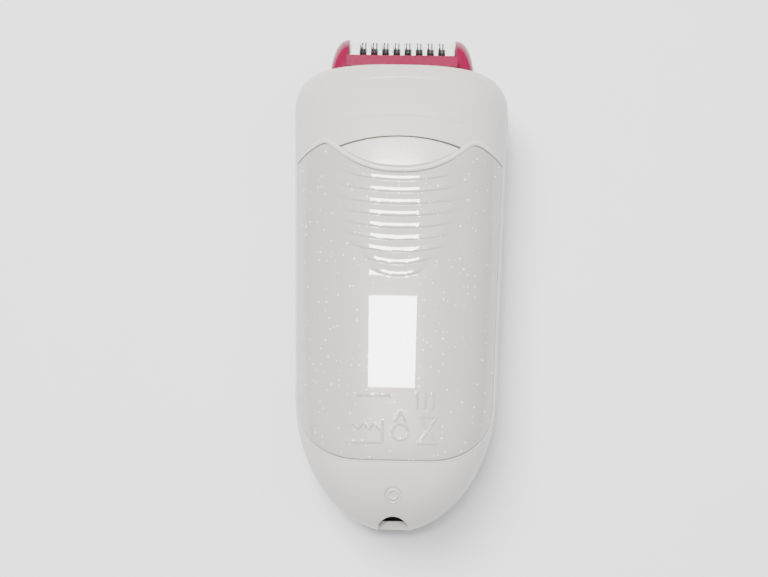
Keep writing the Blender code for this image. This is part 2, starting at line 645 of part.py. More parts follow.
def make_covers():
    """The panel, the release button with its spring, and the plug over the housing screw."""
    finish("pearl_panel", panel_body("back_panel", 0.0, 0.0, PANEL_THICKNESS))
    centre = (0.0, along(BUTTON_LOW), PARTING_HEIGHT + float(back_height(BUTTON_LOW)))
    button = button_body("release_button", 0.0, 0.0, BUTTON_THICKNESS, centre)
    tongue_x = (-TONGUE_HALF, TONGUE_HALF)
    tongue_top = TONGUE_LOW + TONGUE_THICKNESS
    post = (BUTTON_TIP - 1.0 * MM, BUTTON_TIP + 1.5 * MM)
    post_top = PARTING_HEIGHT + float(back_height(BUTTON_TIP, BUTTON_THICKNESS / 2))
    join(
        button,
        block("tongue", tongue_x, (BUTTON_TIP, TONGUE_END), (TONGUE_LOW, tongue_top)),
        block("post", (-TONGUE_HALF - GAP, TONGUE_HALF + GAP), post, (TONGUE_LOW + GAP, post_top)),
    )
    finish("ivory_plastic", button)

    spring_low = BRIDGE_LOW + BRIDGE_THICKNESS + GAP + SPRING_WIRE
    spring_high = PARTING_HEIGHT + float(back_height(SPRING_STATION, BUTTON_THICKNESS)) - GAP - SPRING_WIRE
    finish("steel", coil("release_spring", SPRING_STATION, spring_low, spring_high))

    plug_y = along(PLUG_STATION)
    plug = prism("screw_plug", circle(0.0, plug_y, PLUG_RADIUS), "Z", PLUG_BOTTOM, PLUG_BOTTOM + OVERCUT)
    for vertex in plug.data.vertices:  # the top face follows the slope of the housing around it
        if vertex.co.z > PLUG_BOTTOM + OVERCUT / 2:
            surface = float(back_height(vertex.co.y + LENGTH / 2))
            vertex.co.z = PARTING_HEIGHT + surface - PLUG_SUNK
    finish("ivory_plastic", plug)


def coil(name, station, low, high):
    """A coil spring standing on the Z axis."""
    curve = bpy.data.curves.new(name, "CURVE")
    curve.dimensions = "3D"
    curve.bevel_depth = SPRING_WIRE
    curve.bevel_resolution = 1
    curve.use_fill_caps = True
    steps = round(SPRING_TURNS * 12)
    line = curve.splines.new("POLY")
    line.points.add(steps)
    for i in range(steps + 1):
        angle = 2.0 * math.pi * SPRING_TURNS * i / steps
        line.points[i].co = (SPRING_RADIUS * math.cos(angle), SPRING_RADIUS * math.sin(angle),
                             low + (high - low) * i / steps, 1.0)
    item = bpy.data.objects.new(name, curve)
    item.location = (0.0, along(station), 0.0)
    bpy.context.collection.objects.link(item)
    return item


def screw(name, axis, across, up, seat, length, direction, head_radius, radius, head=SCREW_HEAD):
    """A screw whose head stands on seat and whose shank goes the other way from direction."""
    profile = [(seat - direction * length, radius), (seat, radius), (seat, head_radius),
               (seat + direction * head, head_radius)]
    return turned(name, profile, axis, across, up, SMALL_SIDES)


def make_socket():
    """The charging socket, its two pins, and the housing screw that goes down into it."""
    socket = prism("charging_socket", notch_outline(-GAP), "Y", along(SOCKET_FACE),
                   along(SOCKET_BLOCK_START + GAP))
    carrier = block("carrier", (-SOCKET_HALF, SOCKET_HALF), (SOCKET_BLOCK_START, SOCKET_END),
                    (SOCKET_LOW, SOCKET_HIGH))
    join(socket, carrier)
    screw_low = CAVITY_HIGH + 2.0 * GAP
    cut(
        socket,
        block("cavity", (-CAVITY_HALF, CAVITY_HALF), (SOCKET_FACE - OVERCUT, SOCKET_FACE + CAVITY_DEPTH),
              (CAVITY_LOW, CAVITY_HIGH)),
        prism("screw_hole", circle(0.0, along(PLUG_STATION), SCREW_RADIUS + GAP, SMALL_SIDES), "Z", screw_low,
              SOCKET_HIGH + OVERCUT),
    )
    finish("black_plastic", socket)
    pin_end = SOCKET_FACE + CAVITY_DEPTH - GAP
    for number, side in ((1, -1), (2, 1)):
        pin = turned(f"contact_pin_{number}", [(along(pin_end - PIN_LENGTH), PIN_RADIUS * 0.6),
                                               (along(pin_end - PIN_LENGTH + 0.4 * MM), PIN_RADIUS),
                                               (along(pin_end), PIN_RADIUS)],
                     "Y", side * PIN_OUT, (CAVITY_LOW + CAVITY_HIGH) / 2, SMALL_SIDES)
        finish("brass", pin)
    seat = screw_shoulder() + GAP
    finish("steel", screw("housing_screw", "Z", 0.0, along(PLUG_STATION), seat, seat - screw_low - GAP, 1,
                          SCREW_HEAD_RADIUS, SCREW_RADIUS))


def make_front_pieces():
    """The switch with its seal and unlock buttons, the lit window, the light guide and the side grips."""
    switch_y = along(SWITCH_STATION)
    centre = (0.0, switch_y, 0.0)
    disc_top = SWITCH_DISH_DEPTH - GAP
    disc_low = disc_top - 1.0 * MM
    radius = SWITCH_DISH_RADIUS - 1.5 * GAP
    knob = prism("switch_knob", circle(0.0, switch_y, radius, 28), "Z", disc_low, disc_top, origin=centre)
    join(
        knob,
        block("bar", (-SWITCH_BAR_HALF, SWITCH_BAR_HALF),
              (SWITCH_STATION - radius + 1.5 * MM, SWITCH_STATION + radius - 1.5 * MM), (2 * GAP, disc_low + GAP)),
        prism("stub", circle(0.0, switch_y, SWITCH_STUB_RADIUS), "Z", disc_top - GAP, SWITCH_BOSS_TOP + 1.6 * MM),
    )
    finish("white_plastic", knob)
    finish("dark_rubber", ring("switch_seal", "Z", 0.0, switch_y, SWITCH_BOSS_TOP + GAP, SWITCH_BOSS_TOP + 4 * GAP,
                               SWITCH_STUB_RADIUS + 2.0 * MM, SWITCH_STUB_RADIUS + GAP))
    for number, side in ((1, -1), (2, 1)):
        finish("white_plastic", unlock_body(f"unlock_button_{number}", side, 0.0, 0.0, UNLOCK_THICKNESS))
        grip = grip_body("side_grip_left" if side < 0 else "side_grip_right", side, 0.0, -GRIP_PROUD, GRIP_DEPTH)
        finish("dark_rubber", grip)
    spread = (math.pi - WINDOW_SPREAD, math.pi + WINDOW_SPREAD)
    finish("clear_lens", wrapped_block("light_window", (WINDOW_LOW, WINDOW_HIGH), spread, 0.0, WINDOW_THICKNESS))
    led_station = (WINDOW_LOW + WINDOW_HIGH) / 2
    led_low = PARTING_HEIGHT - float(front_depth(led_station, WALL)) + 2 * GAP
    finish("clear_lens", turned("work_light_led", [(led_low, 0.7 * MM), (led_low + 0.8 * MM, 1.5 * MM),
                                                   (led_low + 3.2 * MM, 1.5 * MM)], "Z", 0.0, along(led_station),
                                SMALL_SIDES))
    finish("clear_lens", prism("charge_light_guide", circle(0.0, along(GUIDE_STATION), GUIDE_RADIUS, SMALL_SIDES),
                               "Z", GAP, BOARD_LOW - GAP))


# ---- power and drive ----


def gear_outline(teeth, phase, across, up):
    """A gear's outline: trapezoid teeth, the first one centred on the angle phase."""
    pitch_radius = MODULE * teeth / 2
    tip, root = pitch_radius + ADDENDUM * MODULE, pitch_radius - DEDENDUM * MODULE
    pitch = 2.0 * math.pi / teeth
    foot = pitch * (TOOTH_SHARE + (TOOTH_SHARE - TIP_SHARE) * DEDENDUM / ADDENDUM) / 2
    half_tip = pitch * TIP_SHARE / 2
    points = []
    for tooth in range(teeth):
        middle = phase + tooth * pitch
        for angle, radius in ((-foot, root), (-half_tip, tip), (half_tip, tip), (foot, root)):
            points.append((across + radius * math.cos(middle + angle), up + radius * math.sin(middle + angle)))
    return points


def spur_gear(name, teeth, station, first_tooth_up, face, slot="gear_plastic"):
    """A gear on the X axis; a tooth or a gap points along +Y, so that neighbours mesh at rest."""
    phase = 0.0 if first_tooth_up else math.pi / teeth
    outline = gear_outline(teeth, phase, along(station), DRIVE_HEIGHT)
    bore = circle(along(station), DRIVE_HEIGHT, SHAFT_RADIUS + GAP, SMALL_SIDES)
    gear = prism(name, outline, "X", GEAR_PLANE - face / 2, GEAR_PLANE + face / 2, (bore,),
                 (0.0, along(station), DRIVE_HEIGHT))
    finish(slot, gear)
    return gear


def make_crown_gear():
    """The crown gear: a disc with teeth on its face, which the motor's pinion turns."""
    centre_y = along(CROWN_STATION)
    outer = CROWN_PITCH_RADIUS + CROWN_TOOTH_LENGTH / 4
    inner = outer - CROWN_TOOTH_LENGTH
    pitch = 2.0 * math.pi / CROWN_TEETH
    half_foot = pitch * CROWN_FOOT_SHARE / 2
    mesh = bmesh.new()

    def ring_of(radius, x):
        angles = [i * pitch + side * half_foot for i in range(CROWN_TEETH) for side in (-1, 1)]
        start = math.pi + pitch / 2  # a gap faces the pinion
        return [mesh.verts.new((x, centre_y + radius * math.cos(start + a), DRIVE_HEIGHT
                                + radius * math.sin(start + a))) for a in angles]

    inside, outside, back = ring_of(inner, CROWN_ROOT), ring_of(outer, CROWN_ROOT), ring_of(outer, CROWN_BACK)
    mesh.faces.new(inside)
    mesh.faces.new(back)
    teeth = []
    for i in range(2 * CROWN_TEETH):
        j = (i + 1) % (2 * CROWN_TEETH)
        face = mesh.faces.new((inside[i], inside[j], outside[j], outside[i]))
        mesh.faces.new((outside[i], outside[j], back[j], back[i]))
        if i % 2 == 0:
            teeth.append(face)
    height = CROWN_ROOT - (PINION_PITCH_RADIUS - ADDENDUM * MODULE)
    narrowing = TIP_SHARE / CROWN_FOOT_SHARE
    for face in bmesh.ops.extrude_discrete_faces(mesh, faces=teeth)["faces"]:
        corners = list(face.verts)
        for corner in corners:
            angle = math.atan2(corner.co.z - DRIVE_HEIGHT, corner.co.y - centre_y)
            radius = math.hypot(corner.co.z - DRIVE_HEIGHT, corner.co.y - centre_y)
            middle = math.pi + pitch * (math.floor((angle - math.pi) / pitch) + 0.5)
            angle = middle + (angle - middle) * narrowing
            corner.co = (corner.co.x - height, centre_y + radius * math.cos(angle),
                         DRIVE_HEIGHT + radius * math.sin(angle))
    gear = new_object("crown_gear", mesh, (0.0, centre_y, DRIVE_HEIGHT))
    bore = circle(centre_y, DRIVE_HEIGHT, SHAFT_RADIUS + GAP, SMALL_SIDES)
    cut(gear, prism("bore", bore, "X", CROWN_ROOT - OVERCUT, CROWN_BACK + OVERCUT))
    finish("gear_plastic", gear)


def shaft(name, station, low, high, radius=SHAFT_RADIUS):
    """A plain shaft along X."""
    item = turned(name, [(low, radius), (high, radius)], "X", along(station), DRIVE_HEIGHT, SMALL_SIDES,
                  origin=(0.0, along(station), DRIVE_HEIGHT))
    finish("steel", item)
    return item


def cheek_low():
    """Inner, middle and outer cheek of the gear bracket: where each starts in X."""
    return (-CROWN_BACK - 2.0 * MM - CHEEK, CROWN_BACK + 2.0 * MM, GEAR_PLANE + WIDE_GEAR_FACE / 2 + 4 * GAP)


def make_gears():
    make_crown_gear()
    inner, _, outer = cheek_low()
    shaft("crown_shaft", CROWN_STATION, inner - GAP, outer + CHEEK + GAP)
    shaft("output_shaft", OUTPUT_STATION, cheek_low()[1] - GAP, outer + CHEEK + GAP)
    spur_gear("crown_pinion", SMALL_TEETH, CROWN_STATION, True, WIDE_GEAR_FACE, "brass")
    spur_gear("output_gear", OUTPUT_TEETH, OUTPUT_STATION, False, WIDE_GEAR_FACE)
    pinion_centre = (0.0, along(MESH_STATION), DRIVE_HEIGHT)
    half_face = CROWN_TOOTH_LENGTH / 2 + GAP
    bore = circle(0.0, DRIVE_HEIGHT, THIN_SHAFT_RADIUS + GAP, SMALL_SIDES)
    pinion = prism("motor_pinion", gear_outline(MOTOR_PINION_TEETH, 0.0, 0.0, DRIVE_HEIGHT), "Y",
                   along(MESH_STATION) - half_face, along(MESH_STATION) + half_face, (bore,), pinion_centre)
    finish("brass", pinion)
    motor_shaft = turned("motor_shaft", [(along(MOTOR_END - MOTOR_BORE + 0.5 * MM), THIN_SHAFT_RADIUS),
                                         (along(MESH_STATION) + half_face + GAP, THIN_SHAFT_RADIUS)],
                         "Y", 0.0, DRIVE_HEIGHT, SMALL_SIDES, origin=pinion_centre)
    finish("steel", motor_shaft)


def make_motor():
    """The flat-sided motor can with its shaft bore and two screw holes, and the screws."""
    limit = math.asin(MOTOR_HALF_HEIGHT / MOTOR_HALF_WIDTH)
    arc = np.linspace(-limit, limit, 9)
    outline = [(MOTOR_HALF_WIDTH * math.cos(a), DRIVE_HEIGHT + MOTOR_HALF_WIDTH * math.sin(a)) for a in arc]
    outline += [(-u, 2 * DRIVE_HEIGHT - v) for u, v in outline]
    can = prism("motor_can", outline, "Y", along(MOTOR_START), along(MOTOR_END))
    bore = circle(0.0, DRIVE_HEIGHT, THIN_SHAFT_RADIUS + RUNNING_GAP, SMALL_SIDES)
    cut(can, prism("shaft_bore", bore, "Y", along(MOTOR_END - MOTOR_BORE), along(MOTOR_END + OVERCUT)))
    for number, side in ((1, -1), (2, 1)):
        hole = circle(side * MOTOR_SCREW_OUT, DRIVE_HEIGHT, MOTOR_SCREW_RADIUS + GAP, SMALL_SIDES)
        cut(can, prism("screw_hole", hole, "Y", along(MOTOR_END - 3.0 * MM), along(MOTOR_END + OVERCUT)))
        finish("steel", screw(f"motor_screw_{number}", "Y", side * MOTOR_SCREW_OUT, DRIVE_HEIGHT,
                              along(PLATE_END + GAP), BRACKET_PLATE + 2 * GAP + 2.4 * MM, 1, 1.6 * MM,
                              MOTOR_SCREW_RADIUS, 0.8 * MM))
    finish("steel", can)


def make_gear_bracket():
    """Motor plate, three cheeks that carry the shafts, and a bridge under the release spring."""
    inner, middle, outer = cheek_low()
    low, high = DRIVE_HEIGHT - MOTOR_HALF_HEIGHT, DRIVE_HEIGHT + MOTOR_HALF_HEIGHT
    bridge_high = BRIDGE_LOW + BRIDGE_THICKNESS
    bridge_end = CROWN_STATION + 7.0 * MM
    bracket = block("gear_bracket", (-MOTOR_HALF_WIDTH, outer + CHEEK), (PLATE_START, PLATE_END), (low, high))
    into_plate = PLATE_START + GAP
    join(
        bracket,
        block("inner_cheek", (inner, inner + CHEEK), (into_plate, bridge_end), (low + GAP, bridge_high - GAP)),
        block("middle_cheek", (middle, middle + CHEEK), (into_plate, CHEEK_END), (low + GAP, bridge_high - GAP)),
        block("outer_cheek", (outer, outer + CHEEK - GAP / 2), (into_plate, CHEEK_END), (low + 2.0 * MM, high - GAP)),
        block("bridge", (inner + GAP, middle + CHEEK - GAP), (into_plate - GAP / 2, bridge_end - GAP),
              (BRIDGE_LOW, bridge_high)),
    )
    for station in (CROWN_STATION, OUTPUT_STATION):
        bore = circle(along(station), DRIVE_HEIGHT, SHAFT_RADIUS + RUNNING_GAP, SMALL_SIDES)
        start = inner - OVERCUT if station == CROWN_STATION else middle - OVERCUT
        cut(bracket, prism("bore", bore, "X", start, outer + CHEEK + OVERCUT))
    opening = circle(0.0, DRIVE_HEIGHT, 3.0 * MM)
    cut(bracket, prism("shaft_opening", opening, "Y", along(PLATE_START - OVERCUT), along(PLATE_END + OVERCUT)))
    for side in (-1, 1):
        hole = circle(side * MOTOR_SCREW_OUT, DRIVE_HEIGHT, MOTOR_SCREW_RADIUS + GAP, SMALL_SIDES)
        cut(bracket, prism("screw_hole", hole, "Y", along(PLATE_START - OVERCUT), along(PLATE_END + OVERCUT)))
    finish("white_plastic", bracket)


def make_power():
    """The cell with its tabs, the circuit board, and the chassis tray that carries them."""
    cell_end = CELL_START + CELL_LENGTH
    cell = turned("battery_cell", [(along(CELL_START), CELL_RADIUS), (along(cell_end - 1.0 * MM), CELL_RADIUS),
                                   (along(cell_end - 1.0 * MM), 2.7 * MM), (along(cell_end), 2.7 * MM)],
                  "Y", 0.0, DRIVE_HEIGHT)
    finish("cell_wrap", cell)
    for number, start in ((1, CELL_START - GAP - TAB_THICKNESS), (2, cell_end + GAP)):
        tab = block(f"battery_tab_{number}", (-3.0 * MM, 3.0 * MM), (start, start + TAB_THICKNESS),
                    (DRIVE_HEIGHT - 5.0 * MM, DRIVE_HEIGHT + 3.0 * MM))
        finish("steel", tab)
    board = block("circuit_board", (-BOARD_HALF, BOARD_HALF), (BOARD_START, BOARD_END),
                  (BOARD_LOW, BOARD_LOW + BOARD_THICKNESS))
    finish("board_laminate", board)
    outside = CHASSIS_HALF + CHASSIS_WALL
    floor_top = CHASSIS_FLOOR_LOW + CHASSIS_FLOOR
    section = [(-outside, CHASSIS_FLOOR_LOW), (outside, CHASSIS_FLOOR_LOW), (outside, CHASSIS_SIDE_TOP),
               (CHASSIS_HALF, CHASSIS_SIDE_TOP), (CHASSIS_HALF, floor_top), (-CHASSIS_HALF, floor_top),
               (-CHASSIS_HALF, CHASSIS_SIDE_TOP), (-outside, CHASSIS_SIDE_TOP)]
    chassis = prism("chassis", section, "Y", along(CHASSIS_START), along(MOTOR_END))
    saddle_top = DRIVE_HEIGHT - CELL_RADIUS - GAP
    for station in (CELL_START + 8.0 * MM, cell_end - 10.0 * MM):
        join(chassis, block("saddle", (-CHASSIS_HALF - GAP, CHASSIS_HALF + GAP), (station, station + 2.0 * MM),
                            (floor_top - GAP, saddle_top)))
    finish("white_plastic", chassis)


# ---- head ----


def section_outline(station, inset):
    """The body's section at a station, moved in by inset, as an outline in X and Z."""
    thetas = np.arange(36) * 2.0 * math.pi / 36
    points = body_point(np.full_like(thetas, station), thetas, inset)
    return [(float(x), float(z)) for x, _, z in points if abs(z - PARTING_HEIGHT) > PARTING_GAP]


def make_head_seat():
    """The plate across the mouth that the head stands on, its seal and its two screws."""
    seat_high = SEAT_LOW + SEAT_THICKNESS
    seat = prism("head_seat", section_outline(seat_high, WALL + GAP), "Y", along(SEAT_LOW), along(seat_high))
    half_slot = math.sqrt(OUTPUT_TIP_RADIUS**2 - (SEAT_LOW - OUTPUT_STATION - SEAL_THICKNESS - GAP) ** 2) + GAP
    slot_x = (GEAR_PLANE - WIDE_GEAR_FACE / 2 - 2 * GAP, GEAR_PLANE + WIDE_GEAR_FACE / 2 + 2 * GAP)
    slot_z = (DRIVE_HEIGHT - half_slot - GAP, DRIVE_HEIGHT + half_slot + GAP)
    cut(
        seat,
        block("gear_slot", slot_x, (SEAT_LOW - OVERCUT, seat_high + OVERCUT), slot_z),
        block("tongue_slot", (-TONGUE_HALF - 2 * GAP, TONGUE_HALF + 2 * GAP),
              (SEAT_LOW - OVERCUT, seat_high + OVERCUT),
              (TONGUE_LOW - BUTTON_TRAVEL - 2 * GAP, TONGUE_LOW + 10.0 * MM)),
    )
    for number, side in ((1, -1), (2, 1)):
        hole = circle(side * SEAT_SCREW_OUT, DRIVE_HEIGHT, SCREW_RADIUS + GAP, SMALL_SIDES)
        cut(seat, prism("screw_hole", hole, "Y", along(SEAT_LOW - OVERCUT), along(seat_high + OVERCUT)))
        finish("steel", screw(f"seat_screw_{number}", "Y", side * SEAT_SCREW_OUT, DRIVE_HEIGHT,
                              along(seat_high + GAP), SEAT_THICKNESS + 5.0 * MM, 1, 1.8 * MM, SCREW_RADIUS))
    finish("white_plastic", seat)
    seal_high = SEAT_LOW - GAP
    outline = rectangle(slot_x[0] - 1.0 * MM, slot_x[1] + 1.0 * MM, slot_z[0] - 1.0 * MM, slot_z[1] + 1.0 * MM)
    finish("dark_rubber", prism("output_seal", outline, "Y", along(seal_high - SEAL_THICKNESS), along(seal_high),
                                (rectangle(*slot_x, *slot_z),)))


def ear_body(name, side):
    """One ear: half-ellipse rings that get lower and shallower towards the outside."""
    mesh = bmesh.new()
    foot = HEAD_DECK - 2 * GAP
    height = LENGTH - foot
    outs = EAR_INNER + EAR_REACH * np.sin(np.linspace(0.0, math.radians(84.0), 7))
    rings = []
    for x in outs:
        share = (1.0 - ((x - EAR_INNER) / EAR_REACH) ** EAR_POWER) ** (1.0 / EAR_POWER)
        depth = EAR_HALF_DEPTH * (0.6 + 0.4 * share)
        angles = np.linspace(0.0, math.pi, 15)
        points = [(depth * math.cos(a), height * share * math.sin(a)) for a in angles]
        rings.append([mesh.verts.new((side * x, along(foot + up), DRIVE_HEIGHT + across)) for across, up in points])
    for first, second in zip(rings, rings[1:]):
        for i in range(len(first)):
            j = (i + 1) % len(first)
            mesh.faces.new((first[i], first[j], second[j], second[i]))
    mesh.faces.new(rings[0])
    mesh.faces.new(rings[-1])
    return new_object(name, mesh)


def make_head_frame():
    """The head's frame: a hollow base that plugs into the mouth, two ears, and a back and a front wall."""
    inset = WALL + GAP + 0.1 * MM
    base = section_outline(RIM, inset)
    top = max(z for _, z in base)
    low = min(z for _, z in base)
    frame = prism("head_frame", base, "Y", along(HEAD_BASE_LOW), along(HEAD_DECK),
                  origin=(0.0, along(HEAD_BASE_LOW), DRIVE_HEIGHT))
    wall_x = (-EAR_INNER - GAP, EAR_INNER + GAP)
    join(
        frame,
        ear_body("left_ear", -1),
        ear_body("right_ear", 1),
        block("back_wall", wall_x, (HEAD_DECK - GAP, HEAD_WALL_TOP), (top - HEAD_WALL - GAP, top - GAP)),
        block("front_wall", wall_x, (HEAD_DECK - GAP, HEAD_WALL_TOP - 1.0 * MM), (low + GAP, low + HEAD_WALL)),
    )
    trough = circle(along(ROLLER_STATION), DRIVE_HEIGHT, TIP_RADIUS + 2 * GAP, 28)
    pocket_high = GEAR_PLANE + GEAR_FACE / 2 + GAP
    pocket = (EAR_INNER - GAP, pocket_high)
    pocket_half = SMALL_TIP_RADIUS + GAP
    cup_top = ROLLER_STATION - TIP_RADIUS - 2 * GAP - CUP_WALL
    tongue_half = TONGUE_HALF + 2 * GAP
    cut(
        frame,
        prism("trough", trough, "X", -EAR_INNER, EAR_INNER),
        block("cup", (-CUP_HALF, CUP_HALF), (HEAD_BASE_LOW - OVERCUT, cup_top),
              (low + CUP_WALL + 1.0 * MM, top - CUP_WALL - 1.0 * MM)),
        block("gear_pocket", pocket, (HEAD_BASE_LOW - OVERCUT, ROLLER_STATION),
              (DRIVE_HEIGHT - pocket_half, DRIVE_HEIGHT + pocket_half)),
        prism("gear_arch", circle(along(ROLLER_STATION), DRIVE_HEIGHT, pocket_half + 0.05 * MM), "X",
              pocket[0] + 0.05 * MM, pocket[1] + 0.05 * MM),
        block("output_clearance", (GEAR_PLANE - WIDE_GEAR_FACE / 2 - GAP, GEAR_PLANE + WIDE_GEAR_FACE / 2 + GAP),
              (HEAD_BASE_LOW - OVERCUT, OUTPUT_STATION + OUTPUT_TIP_RADIUS + GAP),
              (DRIVE_HEIGHT - pocket_half - 0.1 * MM, DRIVE_HEIGHT + pocket_half + 0.1 * MM)),
        block("tongue_pocket", (-tongue_half, tongue_half), (HEAD_BASE_LOW - OVERCUT, TONGUE_END + 2 * GAP),
              (TONGUE_LOW - BUTTON_TRAVEL - 2 * GAP, top + OVERCUT)),
    )
    bush_hole = circle(along(ROLLER_STATION), DRIVE_HEIGHT, BUSH_RADIUS + GAP)
    left, right = bush_spans()
    cut(frame, prism("left_bush_hole", bush_hole, "X", left[0] - 2 * GAP, -EAR_INNER + OVERCUT),
        prism("right_bush_hole", bush_hole, "X", pocket_high - GAP, right[1] + 2 * GAP))
    pin_low, pin_high = idler_pin_span()
    pin_hole = circle(along(IDLER_STATION), DRIVE_HEIGHT, THIN_SHAFT_RADIUS + GAP, SMALL_SIDES)
    cut(frame, prism("pin_hole", pin_hole, "X", pin_low - GAP, pin_high + GAP))
    finish("pink_plastic", frame)


def bush_spans():
    """Where the left and the right roller bush start and end in X."""
    right_low = GEAR_PLANE + GEAR_FACE / 2 + 2 * GAP
    return (-EAR_INNER - GAP - BUSH_LENGTH, -EAR_INNER - GAP), (right_low, right_low + BUSH_LENGTH)


def idler_pin_span():
    """The idler pin's ends, held in the cup's wall and in the base's outer wall."""
    return CUP_HALF + GAP, GEAR_PLANE + GEAR_FACE / 2 + 2.0 * MM


def make_head_gears():
    """The head's two gears, the idler pin, and the roller's shaft and bushes."""
    idler = prism("head_idler_gear", gear_outline(SMALL_TEETH, 0.0, along(IDLER_STATION), DRIVE_HEIGHT), "X",
                  GEAR_PLANE - GEAR_FACE / 2, GEAR_PLANE + GEAR_FACE / 2,
                  (circle(along(IDLER_STATION), DRIVE_HEIGHT, THIN_SHAFT_RADIUS + RUNNING_GAP, SMALL_SIDES),),
                  (0.0, along(IDLER_STATION), DRIVE_HEIGHT))
    finish("gear_plastic", idler)
    shaft("idler_pin", IDLER_STATION, *idler_pin_span(), THIN_SHAFT_RADIUS)
    spur_gear("roller_gear", SMALL_TEETH, ROLLER_STATION, False, GEAR_FACE)
    left, right = bush_spans()
    for name, span in (("roller_bush_left", left), ("roller_bush_right", right)):
        finish("brass", ring(name, "X", along(ROLLER_STATION), DRIVE_HEIGHT, *span, BUSH_RADIUS,
                             SHAFT_RADIUS + RUNNING_GAP, SMALL_SIDES))
    shaft("roller_shaft", ROLLER_STATION, left[0] + GAP / 2, right[1] - GAP / 2)


def column_centres():
    return [(i - (COLUMN_COUNT - 1) / 2) * COLUMN_PITCH for i in range(COLUMN_COUNT)]


def bar_angles():
    return [2.0 * math.pi * i / BAR_COUNT for i in range(BAR_COUNT)]


def window_outline(angle):
    """The opening that a clamp bar slides through, at one angle around the roller."""
    centre = (along(ROLLER_STATION), DRIVE_HEIGHT)
    half = BAR_WIDTH / 2 + GAP
    box = rectangle(centre[0] + BAR_LOW - GAP, centre[0] + BAR_HIGH + GAP, centre[1] - half, centre[1] + half)
    return turned_about(box, *centre, angle)


def make_roller():
    """The white core, the fixed blade discs in its grooves, and the sliding clamp bars."""
    centre = (0.0, along(ROLLER_STATION), DRIVE_HEIGHT)
    profile = [(-ROLLER_HALF, DRUM_RADIUS)]
    for x in column_centres():
        profile += [(x - GROOVE_HALF, DRUM_RADIUS), (x - GROOVE_HALF, HUB_RADIUS), (x + GROOVE_HALF, HUB_RADIUS),
                    (x + GROOVE_HALF, DRUM_RADIUS)]
    profile += [(ROLLER_HALF, DRUM_RADIUS), (ROLLER_HALF, SHAFT_RADIUS + GAP), (-ROLLER_HALF, SHAFT_RADIUS + GAP)]
    core = turned("roller_core", profile, "X", *centre[1:], closed=True, origin=centre)
    for angle in bar_angles():
        cut(core, prism("channel", window_outline(angle), "X", -ROLLER_HALF - OVERCUT, ROLLER_HALF + OVERCUT))
    finish("white_plastic", core)
    for number, x in enumerate(column_centres(), 1):
        disc = prism(f"tweezer_disc_{number}", disc_outline(), "X", x - DISC_FAR, x - DISC_NEAR,
                     (circle(*centre[1:], HUB_RADIUS + GAP, SMALL_SIDES),
                      *(window_outline(angle) for angle in bar_angles())), centre)
        finish("tweezer_steel", disc)
    for number, angle in enumerate(bar_angles(), 1):
        finish("tweezer_steel", clamp_bar(f"clamp_bar_{number}", angle, centre))


def disc_outline():
    """A blade disc's outline: a round disc with one square tip over each clamp bar."""
    centre_y = along(ROLLER_STATION)
    half = BAR_WIDTH / 2
    flank = math.sqrt(DISC_RADIUS**2 - half**2)
    reach = math.sqrt(TIP_RADIUS**2 - half**2)
    tip = [(centre_y + flank, DRIVE_HEIGHT - half), (centre_y + reach, DRIVE_HEIGHT - half),
           (centre_y + reach, DRIVE_HEIGHT + half), (centre_y + flank, DRIVE_HEIGHT + half)]
    between = [(centre_y + DISC_RADIUS * math.cos(a), DRIVE_HEIGHT + DISC_RADIUS * math.sin(a))
               for a in (math.pi / BAR_COUNT * 0.7, math.pi / BAR_COUNT * 1.3)]
    points = []
    for angle in bar_angles():
        points += turned_about(tip + between, centre_y, DRIVE_HEIGHT, angle)
    return points


def clamp_bar(name, angle, centre):
    """A bar along the roller with a finger up through each groove, turned to its place around the roller."""
    points = [(-BAR_HALF_LENGTH, BAR_LOW), (BAR_HALF_LENGTH, BAR_LOW), (BAR_HALF_LENGTH, BAR_HIGH)]
    reach = math.sqrt(TIP_RADIUS**2 - (BAR_WIDTH / 2) ** 2)
    for x in reversed(column_centres()):
        points += [(x + FINGER_FAR, BAR_HIGH), (x + FINGER_FAR, reach), (x + FINGER_NEAR, reach),
                   (x + FINGER_NEAR, BAR_HIGH)]
    points.append((-BAR_HALF_LENGTH, BAR_HIGH))
    item = prism(name, points, "Z", -BAR_WIDTH / 2, BAR_WIDTH / 2)
    cosine, sine = math.cos(angle), math.sin(angle)
    for vertex in item.data.vertices:
        out, side = vertex.co.y, vertex.co.z
        vertex.co.y, vertex.co.z = out * cosine - side * sine, out * sine + side * cosine
    item.location = centre
    return item


def main():
    clear_scene()
    make_rear_housing()
    make_front_housing()
    make_covers()
    make_socket()
    make_front_pieces()
    make_gears()
    make_motor()
    make_gear_bracket()
    make_power()
    make_head_seat()
    make_head_frame()
    make_head_gears()
    make_roller()


main()
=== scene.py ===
"""Looks of a cordless epilator lying on its front: fine shells, moulded relief, finishes, light and camera.

Lengths are metres, written as millimetres times MM. A station is a distance from the bottom end along +Y.
Theta turns around the body from the middle of its back towards +X.
"""

from __future__ import annotations

import logging
import math
from dataclasses import dataclass, field
from enum import Enum

